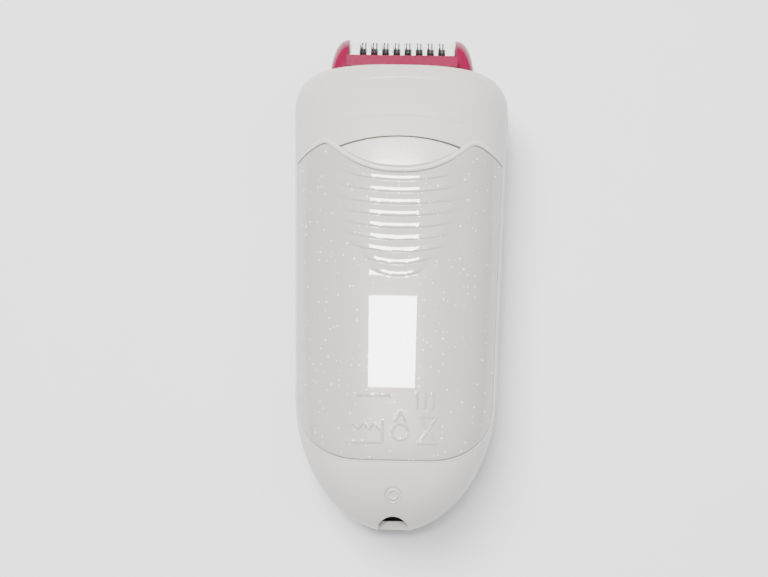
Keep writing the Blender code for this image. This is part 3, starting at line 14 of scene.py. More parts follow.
import bmesh
import bpy
import numpy as np
from mathutils import Euler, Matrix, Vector


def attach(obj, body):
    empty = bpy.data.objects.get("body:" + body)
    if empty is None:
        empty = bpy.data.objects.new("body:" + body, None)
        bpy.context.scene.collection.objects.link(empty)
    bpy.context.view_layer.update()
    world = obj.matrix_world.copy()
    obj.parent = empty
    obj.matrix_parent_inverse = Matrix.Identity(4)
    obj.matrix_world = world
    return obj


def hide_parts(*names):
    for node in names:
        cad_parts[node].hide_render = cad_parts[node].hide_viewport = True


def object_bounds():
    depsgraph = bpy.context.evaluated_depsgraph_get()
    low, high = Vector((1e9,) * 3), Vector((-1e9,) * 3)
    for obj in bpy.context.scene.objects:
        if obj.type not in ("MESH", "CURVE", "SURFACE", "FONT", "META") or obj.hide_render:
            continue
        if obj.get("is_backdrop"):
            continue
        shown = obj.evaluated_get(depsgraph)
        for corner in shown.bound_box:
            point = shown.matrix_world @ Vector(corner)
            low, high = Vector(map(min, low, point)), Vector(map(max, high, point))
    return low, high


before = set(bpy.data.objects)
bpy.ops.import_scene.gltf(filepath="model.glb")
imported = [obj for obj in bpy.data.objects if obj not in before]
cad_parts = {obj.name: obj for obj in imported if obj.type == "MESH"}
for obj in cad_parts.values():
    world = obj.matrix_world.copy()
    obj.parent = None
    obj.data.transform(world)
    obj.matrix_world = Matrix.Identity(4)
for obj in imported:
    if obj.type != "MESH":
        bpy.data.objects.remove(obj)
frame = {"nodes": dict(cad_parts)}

MM = 0.001
PLUG_STATION = 10.3 * MM
GUIDE_STATION = 60.0 * MM
TOP_EDGE_POWER = 2.4
LOG = logging.getLogger("epilator")
Grid = np.ndarray


class Axis(Enum):
    """The direction that a round or drawn piece runs in."""

    X = "X"
    Y = "Y"
    Z = "Z"


class Part(Enum):
    """Which half of the housing a shell is."""

    REAR = -math.pi / 2
    FRONT = math.pi / 2


# ---- the body's form ----


@dataclass(frozen=True)
class BodyForm:
    """The epilator's outer form: a superellipse section whose width, back and front change along the body."""

    length: float
    shoulder_width: float = 64.0 * MM
    bottom_width: float = 58.6 * MM
    parting: float = 19.5 * MM
    back: float = 17.5 * MM
    collar_rise: float = 3.0 * MM
    rim_dip: float = 2.0 * MM
    front_lift: float = 6.0 * MM
    wall: float = 2.4 * MM
    end_round: float = 25.0 * MM
    side_round: float = 40.0 * MM
    end_flat: float = 0.5 * MM
    front_flat_end: float = 105.0 * MM
    collar_start: float = 70.0 * MM
    collar_top: float = 118.0 * MM
    widest: float = 123.0 * MM
    rim: float = 133.3 * MM
    shoulder_drop: float = 12.0 * MM
    shoulder_reach: float = 1.05
    shoulder_power: float = 2.5
    back_power: float = 2.7
    front_power: float = 2.6
    flat_cut: float = 0.5 * MM
    parting_gap: float = 0.3 * MM

    def along(self, station: Grid | float) -> Grid | float:
        """World Y of a station."""
        return station - self.length / 2

    @staticmethod
    def smooth(share: Grid) -> Grid:
        """Three share squared minus two share cubed, between 0 and 1."""
        share = np.clip(share, 0.0, 1.0)
        return share * share * (3.0 - 2.0 * share)

    def fullness(self, station: Grid, end_length: float, inset: Grid | float) -> Grid:
        """Share of the full section: the root of one minus the squared share of the end still ahead."""
        ahead = np.clip((end_length - station) / (end_length + self.end_flat - inset), 0.0, 1.0)
        return np.sqrt(1.0 - ahead**2)

    def half_width(self, station: Grid, inset: Grid | float = 0.0) -> Grid:
        """Half the width: straight widening sides, a rounded bottom end and superelliptic shoulders.

        Args:
            station: distances from the bottom end.
            inset: how far inside the outer surface.

        Returns:
            Half-widths.
        """
        widening = np.clip((station - self.side_round) / (self.widest - self.side_round), 0.0, 1.0)
        side = self.bottom_width / 2 + (self.shoulder_width - self.bottom_width) / 2 * widening - inset
        reach = (self.rim - self.widest) * self.shoulder_reach - inset
        share = np.clip((station - self.widest) / reach, 0.0, 1.0) ** self.shoulder_power
        drop = (self.shoulder_drop - inset) * (1.0 - (1.0 - share) ** (1.0 / self.shoulder_power))
        at_rim = (1.0 - (1.0 / self.shoulder_reach) ** self.shoulder_power) ** (1.0 / self.shoulder_power)
        mouth = self.shoulder_width / 2 - self.shoulder_drop * (1.0 - at_rim) - inset
        narrowed = np.where(station > self.widest, np.maximum(side - drop, mouth), side)
        return narrowed * self.fullness(station, self.side_round, inset)

    def back_height(self, station: Grid, inset: Grid | float = 0.0) -> Grid:
        """Height of the back above the parting plane: level, rising to the collar, dipping to the rim.

        Args:
            station: distances from the bottom end.
            inset: how far inside the outer surface.

        Returns:
            Heights above the parting plane.
        """
        climb = (station - self.collar_start) / (self.collar_top - self.collar_start)
        rise = self.collar_rise * self.smooth(climb)
        past = (station - self.collar_top) / (self.rim - self.collar_top)
        dip = self.rim_dip * np.clip(past, 0.0, 1.0) ** 2
        return (self.back + rise - dip - inset) * self.fullness(station, self.end_round, inset)

    def front_depth(self, station: Grid, inset: Grid | float = 0.0) -> Grid:
        """Depth of the front below the parting plane: level, lifting towards the rim.

        Args:
            station: distances from the bottom end.
            inset: how far inside the outer surface.

        Returns:
            Depths below the parting plane.
        """
        climb = (station - self.front_flat_end) / (self.rim - self.front_flat_end)
        lift = self.front_lift * self.smooth(climb)
        return (self.parting - lift - inset) * self.fullness(station, self.end_round, inset)

    def points(self, station: Grid, theta: Grid, inset: Grid | float = 0.0) -> Grid:
        """Points on the body's surface.

        The section's radius is (|sin|^n + |cos|^n)^(-1/n). Its x is the half-width times sin times that
        radius. Its height is the back height, or the front depth cut flat, times cos times that radius.

        Args:
            station: distances from the bottom end.
            theta: angles from the middle of the back.
            inset: how far the point lies inside the outer surface.

        Returns:
            An array of points with three coordinates in its last axis.
        """
        station, theta, inset = np.broadcast_arrays(station, theta, inset)
        sine, cosine = np.sin(theta), np.cos(theta)
        on_back = cosine >= -1e-9
        power = np.where(on_back, self.back_power, self.front_power)
        radius = (np.abs(sine) ** power + np.abs(cosine) ** power) ** (-1.0 / power)
        depth = self.front_depth(station, inset)
        cut = self.flat_cut * self.fullness(station, self.end_round, inset)
        up = np.maximum(cosine * radius * self.back_height(station, inset), self.parting_gap / 2)
        down = np.clip(-cosine * radius * (depth + cut), self.parting_gap / 2, depth)
        height = self.parting + np.where(on_back, up, -down)
        across = self.half_width(station, inset) * sine * radius
        return np.stack((across, self.along(station), height), axis=-1)

    def back_angle(self, share: Grid) -> Grid:
        """Theta on the back where the section reaches this share of its half-width."""
        return np.arctan2(share, (1.0 - np.abs(share) ** self.back_power) ** (1.0 / self.back_power))


# ---- meshes from arrays ----


class Maker:
    """Turns arrays of points into named mesh objects at the origin."""

    @staticmethod
    def from_arrays(name: str, points: Grid, faces: list) -> bpy.types.Object:
        """A smooth-shaded object from points and faces, with its normals turned outwards.

        Args:
            name: the object's name.
            points: the corners, three coordinates each.
            faces: corner numbers of each face.

        Returns:
            The new object.
        """
        mesh = bpy.data.meshes.new(name)
        mesh.from_pydata(points.reshape(-1, 3), [], faces)
        shape = bmesh.new()
        shape.from_mesh(mesh)
        bmesh.ops.recalc_face_normals(shape, faces=shape.faces)
        shape.to_mesh(mesh)
        shape.free()
        item = bpy.data.objects.new(name, mesh)
        bpy.context.collection.objects.link(item)
        Maker.shade(item)
        return item

    @staticmethod
    def shade(item: bpy.types.Object, degrees: float = 34.0) -> None:
        """Smooth shading with crisp edges over an angle."""
        item.data.shade_smooth()
        item.data.set_sharp_from_angle(angle=math.radians(degrees))

    @staticmethod
    def quads(rows: int, columns: int, start: int = 0, wrap: bool = False) -> Grid:
        """Corner numbers of a grid's quads; wrap closes each row into a ring.

        Args:
            rows: how many rows the grid has.
            columns: how many columns it has.
            start: the number of its first corner.
            wrap: whether each row closes into a ring.

        Returns:
            Four corner numbers for each quad.
        """
        width = columns if wrap else columns - 1
        r, c = np.meshgrid(np.arange(rows - 1), np.arange(width), indexing="ij")
        d = (c + 1) % columns
        near, far = r * columns, (r + 1) * columns
        return start + np.stack((near + c, near + d, far + d, far + c), axis=-1).reshape(-1, 4)

    @staticmethod
    def slab(name: str, outer: Grid, inner: Grid) -> bpy.types.Object:
        """A closed slab between two grids of the same size, joined all round their border.

        Args:
            name: the object's name.
            outer: points of the outer side, on a grid.
            inner: points of the inner side, on a grid.

        Returns:
            The new object.
        """
        rows, columns = outer.shape[:2]
        count = rows * columns
        index = np.arange(count).reshape(rows, columns)
        border = np.concatenate((index[0], index[1:, -1], index[-1, -2::-1], index[-2:0:-1, 0]))
        after = np.roll(border, -1)
        side = np.stack((border, border + count, after + count, after), axis=-1)
        faces = np.concatenate((Maker.quads(rows, columns), Maker.quads(rows, columns, count)[:, ::-1], side))
        points = np.concatenate((outer.reshape(-1, 3), inner.reshape(-1, 3)))
        return Maker.from_arrays(name, points, faces.tolist())

    @staticmethod
    def ordered(axis: Axis, along: Grid, first: Grid, second: Grid) -> Grid:
        """Points from the distance along an axis and the other two coordinates.

        Args:
            axis: the direction it runs in.
            along: distances along the axis.
            first: the first of the other two coordinates.
            second: the second of the other two coordinates.

        Returns:
            Points, with three coordinates in the last axis.
        """
        order = {Axis.X: (along, first, second), Axis.Y: (first, along, second),
                 Axis.Z: (first, second, along)}
        return np.stack(order[axis], axis=-1)

    @staticmethod
    def turned(name: str, profile: list[tuple[float, float]], axis: Axis, centre: tuple[float, float],
               sides: int = 64, closed: bool = False) -> bpy.types.Object:
        """A round piece from (distance along the axis, radius); a closed profile leaves a bore.

        Args:
            name: the object's name.
            profile: the outline from one end to the other.
            axis: the direction it runs in.
            centre: the two coordinates of its axis.
            sides: how many sides a ring has.
            closed: whether the last ring meets the first.

        Returns:
            The new object.
        """
        rings = np.array(profile + ([profile[0]] if closed else []))
        angles = np.linspace(0.0, 2.0 * math.pi, sides, endpoint=False)
        across = centre[0] + rings[:, 1:2] * np.cos(angles)
        up = centre[1] + rings[:, 1:2] * np.sin(angles)
        distance = np.broadcast_to(rings[:, 0:1], across.shape)
        points = Maker.ordered(axis, distance, across, up)
        count = len(profile)
        faces = Maker.quads(count, sides, wrap=True).tolist()
        if closed:
            last = np.arange(sides) + (count - 1) * sides
            first = np.arange(sides)
            faces += np.stack((last, np.roll(last, -1), np.roll(first, -1), first), axis=-1).tolist()
        else:
            faces += [list(range(sides)), list(range((count - 1) * sides, count * sides))]
        return Maker.from_arrays(name, points[:count], faces)

    @staticmethod
    def drawn(name: str, outline: Grid, axis: Axis, low: float, high: float) -> bpy.types.Object:
        """An outline drawn out along an axis, with flat caps.

        Args:
            name: the object's name.
            outline: its corners, two coordinates each.
            axis: the direction it runs in.
            low: where it starts.
            high: where it ends.

        Returns:
            The new object.
        """
        count = len(outline)
        ends = []
        for distance in (low, high):
            level = np.full(count, distance)
            ends.append(Maker.ordered(axis, level, outline[:, 0], outline[:, 1]))
        first = np.arange(count)
        side = np.stack((first, np.roll(first, -1), np.roll(first, -1) + count, first + count), axis=-1)
        faces = side.tolist() + [first.tolist(), (first + count)[::-1].tolist()]
        return Maker.from_arrays(name, np.concatenate(ends), faces)

    @staticmethod
    def box(name: str, low: tuple[float, float, float], high: tuple[float, float, float]) -> bpy.types.Object:
        """A box between two corners."""
        outline = np.array([(low[0], low[1]), (high[0], low[1]), (high[0], high[1]), (low[0], high[1])])
        return Maker.drawn(name, outline, Axis.Z, low[2], high[2])

    @staticmethod
    def combine(target: bpy.types.Object, tool: bpy.types.Object, operation: str = "DIFFERENCE") -> None:
        """Cuts the tool out of the target, or joins it on, and removes the tool.

        Args:
            target: the piece that is changed.
            tool: the piece that is used up.
            operation: the kind of operation.
        """
        modifier = target.modifiers.new("combine", "BOOLEAN")
        modifier.operation = operation
        modifier.object = tool
        modifier.solver = "EXACT"
        graph = bpy.context.evaluated_depsgraph_get()
        baked = bpy.data.meshes.new_from_object(target.evaluated_get(graph))
        target.modifiers.clear()
        target.data = baked
        bpy.data.objects.remove(tool, do_unlink=True)
        Maker.shade(target)

    @staticmethod
    def bevel(item: bpy.types.Object, width: float, segments: int = 2) -> None:
        """Rounds a piece's edges over 35 degrees.

        Args:
            item: the piece.
            width: how wide the edge is.
            segments: how many steps the edge has.
        """
        modifier = item.modifiers.new("edge", "BEVEL")
        modifier.width = width
        modifier.segments = segments
        modifier.limit_method = "ANGLE"
        modifier.angle_limit = math.radians(35.0)
        modifier.use_clamp_overlap = True


def eased(count: int, share: float = 0.5) -> Grid:
    """Steps from 0 to 1, closer together at both ends: a mix of an even ramp and half a cosine wave."""
    even = np.linspace(0.0, 1.0, count)
    return (1.0 - share) * even + share * (1.0 - np.cos(math.pi * even)) / 2


def rounded(distance: Grid, radius: float) -> Grid:
    """Depth of a rounded edge at a distance from its border: a quarter circle, then 0."""
    inside = np.clip(radius - distance, 0.0, radius)
    return radius - np.sqrt(radius**2 - inside**2)


# ---- finishes ----


class Shading:
    """Shared node groups, each built once."""

    @staticmethod
    def moulded_surface() -> bpy.types.NodeTree:
        """Colour, roughness and height of a surface with soft clouds, fine grain and faint rubs.

        Returns:
            The group.
        """
        found = bpy.data.node_groups.get("moulded_surface")
        if found:
            return found
        group = bpy.data.node_groups.new("moulded_surface", "ShaderNodeTree")
        interface = group.interface
        for label, kind, value in (
            ("Vector", "NodeSocketVector", None), ("Colour", "NodeSocketColor", (0.8, 0.8, 0.8, 1.0)),
            ("Tint", "NodeSocketColor", (0.7, 0.7, 0.7, 1.0)), ("Roughness", "NodeSocketFloat", 0.4),
            ("Spread", "NodeSocketFloat", 0.1), ("Grain Scale", "NodeSocketFloat", 2500.0),
            ("Wear", "NodeSocketFloat", 0.1),
        ):
            socket = interface.new_socket(name=label, in_out="INPUT", socket_type=kind)
            if value is not None:
                socket.default_value = value
        for label, kind in (("Colour", "NodeSocketColor"), ("Roughness", "NodeSocketFloat"),
                            ("Height", "NodeSocketFloat")):
            interface.new_socket(name=label, in_out="OUTPUT", socket_type=kind)
        nodes, links = group.nodes, group.links
        given = nodes.new("NodeGroupInput")
        out = nodes.new("NodeGroupOutput")
        clouds = Shading.noise(group, given.outputs["Vector"], 55.0, 3.0)
        grain = nodes.new("ShaderNodeTexNoise")
        grain.inputs["Detail"].default_value = 2.0
        links.new(given.outputs["Vector"], grain.inputs["Vector"])
        links.new(given.outputs["Grain Scale"], grain.inputs["Scale"])
        rubs = Shading.noise(group, given.outputs["Vector"], 700.0, 6.0)
        rub_mask = nodes.new("ShaderNodeMapRange")
        rub_mask.inputs["From Min"].default_value = 0.62
        rub_mask.inputs["From Max"].default_value = 0.80
        links.new(rubs, rub_mask.inputs["Value"])
        worn = Shading.maths(group, "MULTIPLY", rub_mask.outputs["Result"], given.outputs["Wear"])
        tint_share = Shading.maths(group, "ADD", clouds, worn)
        mix = nodes.new("ShaderNodeMix")
        mix.data_type = "RGBA"
        links.new(tint_share, mix.inputs["Factor"])
        links.new(given.outputs["Colour"], mix.inputs["A"])
        links.new(given.outputs["Tint"], mix.inputs["B"])
        links.new(mix.outputs["Result"], out.inputs["Colour"])
        centred = Shading.maths(group, "SUBTRACT", grain.outputs["Fac"], None, 0.5)
        spread = Shading.maths(group, "MULTIPLY", centred, given.outputs["Spread"])
        rough = Shading.maths(group, "ADD", given.outputs["Roughness"], spread)
        rougher = Shading.maths(group, "ADD", rough, worn)
        links.new(rougher, out.inputs["Roughness"])
        links.new(grain.outputs["Fac"], out.inputs["Height"])
        return group

    @staticmethod
    def noise(tree: bpy.types.NodeTree, vector: bpy.types.NodeSocket, scale: float,
              detail: float) -> bpy.types.NodeSocket:
        """A noise texture's value at a scale in cells per metre.

        Args:
            tree: the node tree it is made in.
            vector: its coordinates.
            scale: cells per metre.
            detail: how many octaves it has.

        Returns:
            The texture's value.
        """
        node = tree.nodes.new("ShaderNodeTexNoise")
        node.inputs["Scale"].default_value = scale
        node.inputs["Detail"].default_value = detail
        tree.links.new(vector, node.inputs["Vector"])
        return node.outputs["Fac"]

    @staticmethod
    def maths(tree: bpy.types.NodeTree, operation: str, first: bpy.types.NodeSocket,
              second: bpy.types.NodeSocket | None, value: float = 0.0) -> bpy.types.NodeSocket:
        """One Math node on one or two sockets, or a socket and a number.

        Args:
            tree: the node tree it is made in.
            operation: the kind of operation.
            first: the first input.
            second: the second input, or nothing.
            value: the number used when there is no second input.

        Returns:
            The result.
        """
        node = tree.nodes.new("ShaderNodeMath")
        node.operation = operation
        tree.links.new(first, node.inputs[0])
        if second is None:
            node.inputs[1].default_value = value
        else:
            tree.links.new(second, node.inputs[1])
        return node.outputs["Value"]


@dataclass(frozen=True)
class Finish:
    """One moulded, machined or sprayed finish."""

    name: str
    colour: tuple[float, float, float]
    tint: tuple[float, float, float]
    roughness: float
    spread: float = 0.12
    metallic: float = 0.0
    coat: float = 0.0
    coat_roughness: float = 0.05
    transmission: float = 0.0
    subsurface: float = 0.0
    grain: float = 2500.0
    relief: float = 0.02 * MM
    wear: float = 0.05
    stretch: tuple[float, float, float] = (1.0, 1.0, 1.0)

    def build(self) -> bpy.types.Material:
        """The material, made the first time it is asked for.

        Returns:
            The material.
        """
        found = bpy.data.materials.get(self.name)
        if found:
            return found
        material = bpy.data.materials.new(self.name)
        material.use_nodes = True
        tree = material.node_tree
        shader = tree.nodes["Principled BSDF"]
        surface = self.surface(tree)
        tree.links.new(surface.outputs["Colour"], shader.inputs["Base Color"])
        tree.links.new(surface.outputs["Roughness"], shader.inputs["Roughness"])
        bump = tree.nodes.new("ShaderNodeBump")
        bump.inputs["Distance"].default_value = self.relief
        tree.links.new(surface.outputs["Height"], bump.inputs["Height"])
        tree.links.new(bump.outputs["Normal"], shader.inputs["Normal"])
        shader.inputs["Metallic"].default_value = self.metallic
        shader.inputs["Coat Weight"].default_value = self.coat
        shader.inputs["Coat Roughness"].default_value = self.coat_roughness
        shader.inputs["Transmission Weight"].default_value = self.transmission
        shader.inputs["Subsurface Weight"].default_value = self.subsurface
        shader.inputs["Subsurface Radius"].default_value = (3.0 * MM, 2.4 * MM, 2.0 * MM)
        shader.inputs["Subsurface Scale"].default_value = 1.0
        return material

    def surface(self, tree: bpy.types.NodeTree) -> bpy.types.Node:
        """The shared surface group, set to this finish's values, on Object coordinates.

        Args:
            tree: the material's node tree.

        Returns:
            The group node.
        """
        coordinates = tree.nodes.new("ShaderNodeTexCoord")
        mapping = tree.nodes.new("ShaderNodeMapping")
        mapping.inputs["Scale"].default_value = self.stretch
        tree.links.new(coordinates.outputs["Object"], mapping.inputs["Vector"])
        surface = tree.nodes.new("ShaderNodeGroup")
        surface.node_tree = Shading.moulded_surface()
        tree.links.new(mapping.outputs["Vector"], surface.inputs["Vector"])
        surface.inputs["Colour"].default_value = (*self.colour, 1.0)
        surface.inputs["Tint"].default_value = (*self.tint, 1.0)
        surface.inputs["Roughness"].default_value = self.roughness
        surface.inputs["Spread"].default_value = self.spread
        surface.inputs["Grain Scale"].default_value = self.grain
        surface.inputs["Wear"].default_value = self.wear
        return surface

    def dress(self, *items: bpy.types.Object) -> None:
        """Puts the finish on each piece."""
        material = self.build()
        for item in items:
            item.data.materials.clear()
            item.data.materials.append(material)


@dataclass(frozen=True)
class PearlFinish(Finish):
    """Clear gloss over pearl, with fine bright flakes scattered in it."""

    flakes: float = 900.0
    flake_size: float = 0.26
    flake_share: float = 0.80

    def build(self) -> bpy.types.Material:
        """The plain finish with flakes added to its colour.

        Returns:
            The material.
        """
        known = bpy.data.materials.get(self.name)
        material = Finish.build(self)
        if known:
            return material
        tree = material.node_tree
        shader = tree.nodes["Principled BSDF"]
        coordinates = tree.nodes.new("ShaderNodeTexCoord")
        cells = tree.nodes.new("ShaderNodeTexVoronoi")
        cells.inputs["Scale"].default_value = self.flakes
        tree.links.new(coordinates.outputs["Object"], cells.inputs["Vector"])
        near = Shading.maths(tree, "LESS_THAN", cells.outputs["Distance"], None, self.flake_size)
        parts = tree.nodes.new("ShaderNodeSeparateColor")
        tree.links.new(cells.outputs["Color"], parts.inputs["Color"])
        chosen = Shading.maths(tree, "GREATER_THAN", parts.outputs["Red"], None, self.flake_share)
        flake = Shading.maths(tree, "MULTIPLY", near, chosen)
        bright = Shading.maths(tree, "MULTIPLY", flake, parts.outputs["Green"])
        mix = tree.nodes.new("ShaderNodeMix")
        mix.data_type = "RGBA"
        mix.inputs["B"].default_value = (1.0, 0.99, 0.97, 1.0)
        old = shader.inputs["Base Color"].links[0].from_socket
        tree.links.new(bright, mix.inputs["Factor"])
        tree.links.new(old, mix.inputs["A"])
        tree.links.new(mix.outputs["Result"], shader.inputs["Base Color"])
        return material


IVORY = Finish("ivory_plastic_finish", (0.57, 0.54, 0.49), (0.53, 0.495, 0.44), 0.40, coat=0.35,
               coat_roughness=0.13, subsurface=0.05)
# Lighter ivory of the release button; on the panel's lip the same lighter colour is a painted highlight.
IVORY_BUTTON_AND_PAINTED_LIP_HIGHLIGHT = Finish("ivory_button_and_painted_lip_highlight", (0.63, 0.605, 0.56), (0.60, 0.57, 0.52), 0.26, coat=0.4,
                     coat_roughness=0.10, relief=0.01 * MM)
PEARL = PearlFinish("pearl_panel_finish", (0.41, 0.385, 0.345), (0.47, 0.445, 0.405), 0.34, coat=1.0,
                    coat_roughness=0.015, relief=0.0, subsurface=0.08, wear=0.02)
PINK = Finish("pink_plastic_finish", (0.21, 0.004, 0.040), (0.15, 0.002, 0.026), 0.24, 0.04, coat=0.12,
              relief=0.0, wear=0.02)
WHITE = Finish("white_plastic_finish", (0.78, 0.78, 0.77), (0.72, 0.72, 0.70), 0.34)
RUBBER = Finish("dark_rubber_finish", (0.035, 0.035, 0.04), (0.06, 0.06, 0.065), 0.68, grain=3600.0,
                relief=0.05 * MM)
TWEEZER = Finish("tweezer_steel_finish", (0.22, 0.21, 0.20), (0.13, 0.12, 0.12), 0.30, 0.10, metallic=1.0,
                 relief=0.005 * MM)
STEEL = Finish("plated_steel_finish", (0.56, 0.56, 0.57), (0.46, 0.46, 0.47), 0.30, 0.14, metallic=1.0,
               stretch=(1, 8, 1))
BRASS = Finish("brass_finish", (0.72, 0.50, 0.21), (0.58, 0.38, 0.14), 0.28, 0.12, metallic=1.0)
GEAR = Finish("gear_plastic_finish", (0.72, 0.68, 0.55), (0.64, 0.60, 0.47), 0.42)
BLACK = Finish("black_plastic_finish", (0.018, 0.018, 0.020), (0.035, 0.035, 0.038), 0.45)
BOARD = Finish("board_laminate_finish", (0.02, 0.12, 0.05), (0.03, 0.17, 0.07), 0.35, coat=0.4, grain=900.0)
WRAP = Finish("cell_wrap_finish", (0.05, 0.15, 0.32), (0.04, 0.12, 0.27), 0.30, coat=0.5)
LENS = Finish("clear_lens_finish", (0.93, 0.95, 0.96), (0.90, 0.93, 0.95), 0.05, 0.02, transmission=0.9,
              relief=0.0)
FLOOR = Finish("floor_paper", (0.80, 0.80, 0.81), (0.77, 0.77, 0.78), 0.75, grain=600.0, relief=0.03 * MM)


# ---- sub-assemblies ----


def install(item: bpy.types.Object, finish: Finish, body: str, node: str = "") -> bpy.types.Object:
    """Dresses a piece and says which body it rides on and which node it replaces.

    Args:
        item: the piece.
        finish: its finish.
        body: the body it rides on.
        node: the node it replaces, or nothing for a piece that is added.

    Returns:
        The same piece.
    """
    finish.dress(item)
    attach(item, body)
    if node:
        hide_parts(node)
    return item


@dataclass
class Housing:
    """The two moulded shells with their cut-outs and step lines."""

    form: BodyForm
    columns: int = 131
    step_depth: float = 0.16 * MM
    step_run: float = 4.0 * MM
    step_width: float = 0.22 * MM
    groove_depth: float = 0.14 * MM
    notch_half: float = 4.1 * MM
    notch_spring: float = 25.5 * MM

    def stations(self, first: float) -> Grid:
        """Rows of the shell: close together on the round end and over the collar.

        Args:
            first: the first row.

        Returns:
            The rows, as one column.
        """
        form = self.form
        end = first + (form.end_round - first) * (1.0 - np.cos(np.linspace(0.0, math.pi / 2, 34)))
        middle = np.linspace(form.end_round, 110.0 * MM, 36)[1:]
        collar = np.linspace(110.0 * MM, form.widest, 81)[1:]
        top = form.widest + (form.rim - form.widest) * np.sin(np.linspace(0.0, math.pi / 2, 81))[1:]
        return np.concatenate((end, middle, collar, top))[:, None]

    def relief(self, station: Grid, theta: Grid) -> Grid:
        """Inset of the collar's two arched steps.

        Each step starts at an arch whose station falls with the square of x. It is a narrow bell-shaped
        groove, and past it a drop that comes back to the surface over the step's run.

        Args:
            station: distances from the bottom end.
            theta: angles from the middle of the back.

        Returns:
            Insets of the same shape.
        """
        form = self.form
        sine, cosine = np.sin(theta), np.cos(theta)
        power = form.back_power
        share = sine * (np.abs(sine) ** power + np.abs(cosine) ** power) ** (-1 / power)
        x = share * form.half_width(station)
        on_back = np.clip(cosine * 6.0, 0.0, 1.0)
        total = np.zeros(np.broadcast(station, theta).shape)
        for centre, fall, reach in ((129.0 * MM, 3.3 * MM, 25.6 * MM), (117.5 * MM, 2.9 * MM, 24.8 * MM)):
            past = station - centre + fall * (x / reach) ** 2
            fade = np.clip((reach - np.abs(x)) / (6.0 * MM), 0.0, 1.0)
            groove = np.exp(-((past / self.step_width) ** 2))
            step = np.where(past > 0.0, 1.0 - form.smooth(past / self.step_run), groove)
            total += (self.step_depth * step + self.groove_depth * groove) * fade
        return total * on_back

    def shell(self, name: str, part: Part) -> bpy.types.Object:
        """Half of the housing with a wall, open at the rim and along the parting plane.

        Args:
            name: the object's name.
            part: which half it is.

        Returns:
            The new object.
        """
        form = self.form
        thetas = (part.value + np.linspace(0.0, math.pi, self.columns))[None, :]
        rows, rows_in = self.stations(0.0), self.stations(form.wall)
        edge = np.minimum(form.rim - rows, 4.0 * MM) * np.ones_like(thetas)
        inset = rounded(edge, 0.7 * MM)
        if part is Part.REAR:
            inset = inset + self.relief(rows, thetas)
        outer = form.points(rows, thetas, inset)
        inner = form.points(rows_in, thetas, form.wall)
        side = 1.0 if part is Part.REAR else -1.0
        for grid in (outer, inner):
            grid[:, (0, -1), 2] = form.parting + side * form.parting_gap / 2
        return self.closed(name, outer, inner)

    def closed(self, name: str, outer: Grid, inner: Grid) -> bpy.types.Object:
        """Joins the outer and the inner grid along rim and parting edge, with a face over each first row.

        Args:
            name: the object's name.
            outer: points of the outer side.
            inner: points of the inner side.

        Returns:
            The new object.
        """
        rows, columns = outer.shape[:2]
        count = rows * columns
        index = np.arange(count).reshape(rows, columns)
        edge = np.concatenate((index[::-1, 0], index[:, -1]))
        side = np.stack((edge[:-1], edge[:-1] + count, edge[1:] + count, edge[1:]), axis=-1)
        here, after = index[-1, :-1], index[-1, 1:]
        rim = np.stack((here, here + count, after + count, after), axis=-1)
        both = (Maker.quads(rows, columns), Maker.quads(rows, columns, count))
        faces = np.concatenate((*both, side, rim)).tolist()
        faces += [index[0].tolist(), (index[0] + count).tolist()]
        return Maker.from_arrays(name, np.concatenate((outer.reshape(-1, 3), inner.reshape(-1, 3))), faces)

    def notch(self, low: float, high: float) -> bpy.types.Object:
        """The tool for the socket notch: a flat bottom, straight sides and a round arch.

        Args:
            low: where it starts.
            high: where it ends.

        Returns:
            The new object.
        """
        angles = np.linspace(0.0, math.pi, 33)
        arch_up = self.notch_spring + self.notch_half * np.sin(angles)
        arch = np.stack((self.notch_half * np.cos(angles), arch_up), -1)
        base = self.form.parting + 0.3 * MM
        outline = np.concatenate((np.array([(-self.notch_half, base), (self.notch_half, base)]), arch))
        return Maker.drawn("notch_tool", outline, Axis.Y, low, high)

    def wings(self, low: float, high: float) -> bpy.types.Object:
        """The tool for the slim openings beside the notch, which taper to nothing on both sides.

        Args:
            low: where it starts.
            high: where it ends.

        Returns:
            The new object.
        """
        base = self.form.parting - 0.1 * MM
        root, top = self.notch_half - 0.2 * MM, base + 2.1 * MM
        outline = np.array([(-8.4 * MM, base), (8.4 * MM, base), (8.2 * MM, base + 0.3 * MM), (root, top),
                            (-root, top), (-8.2 * MM, base + 0.3 * MM)])
        return Maker.drawn("wing_tool", outline, Axis.Y, low, high)

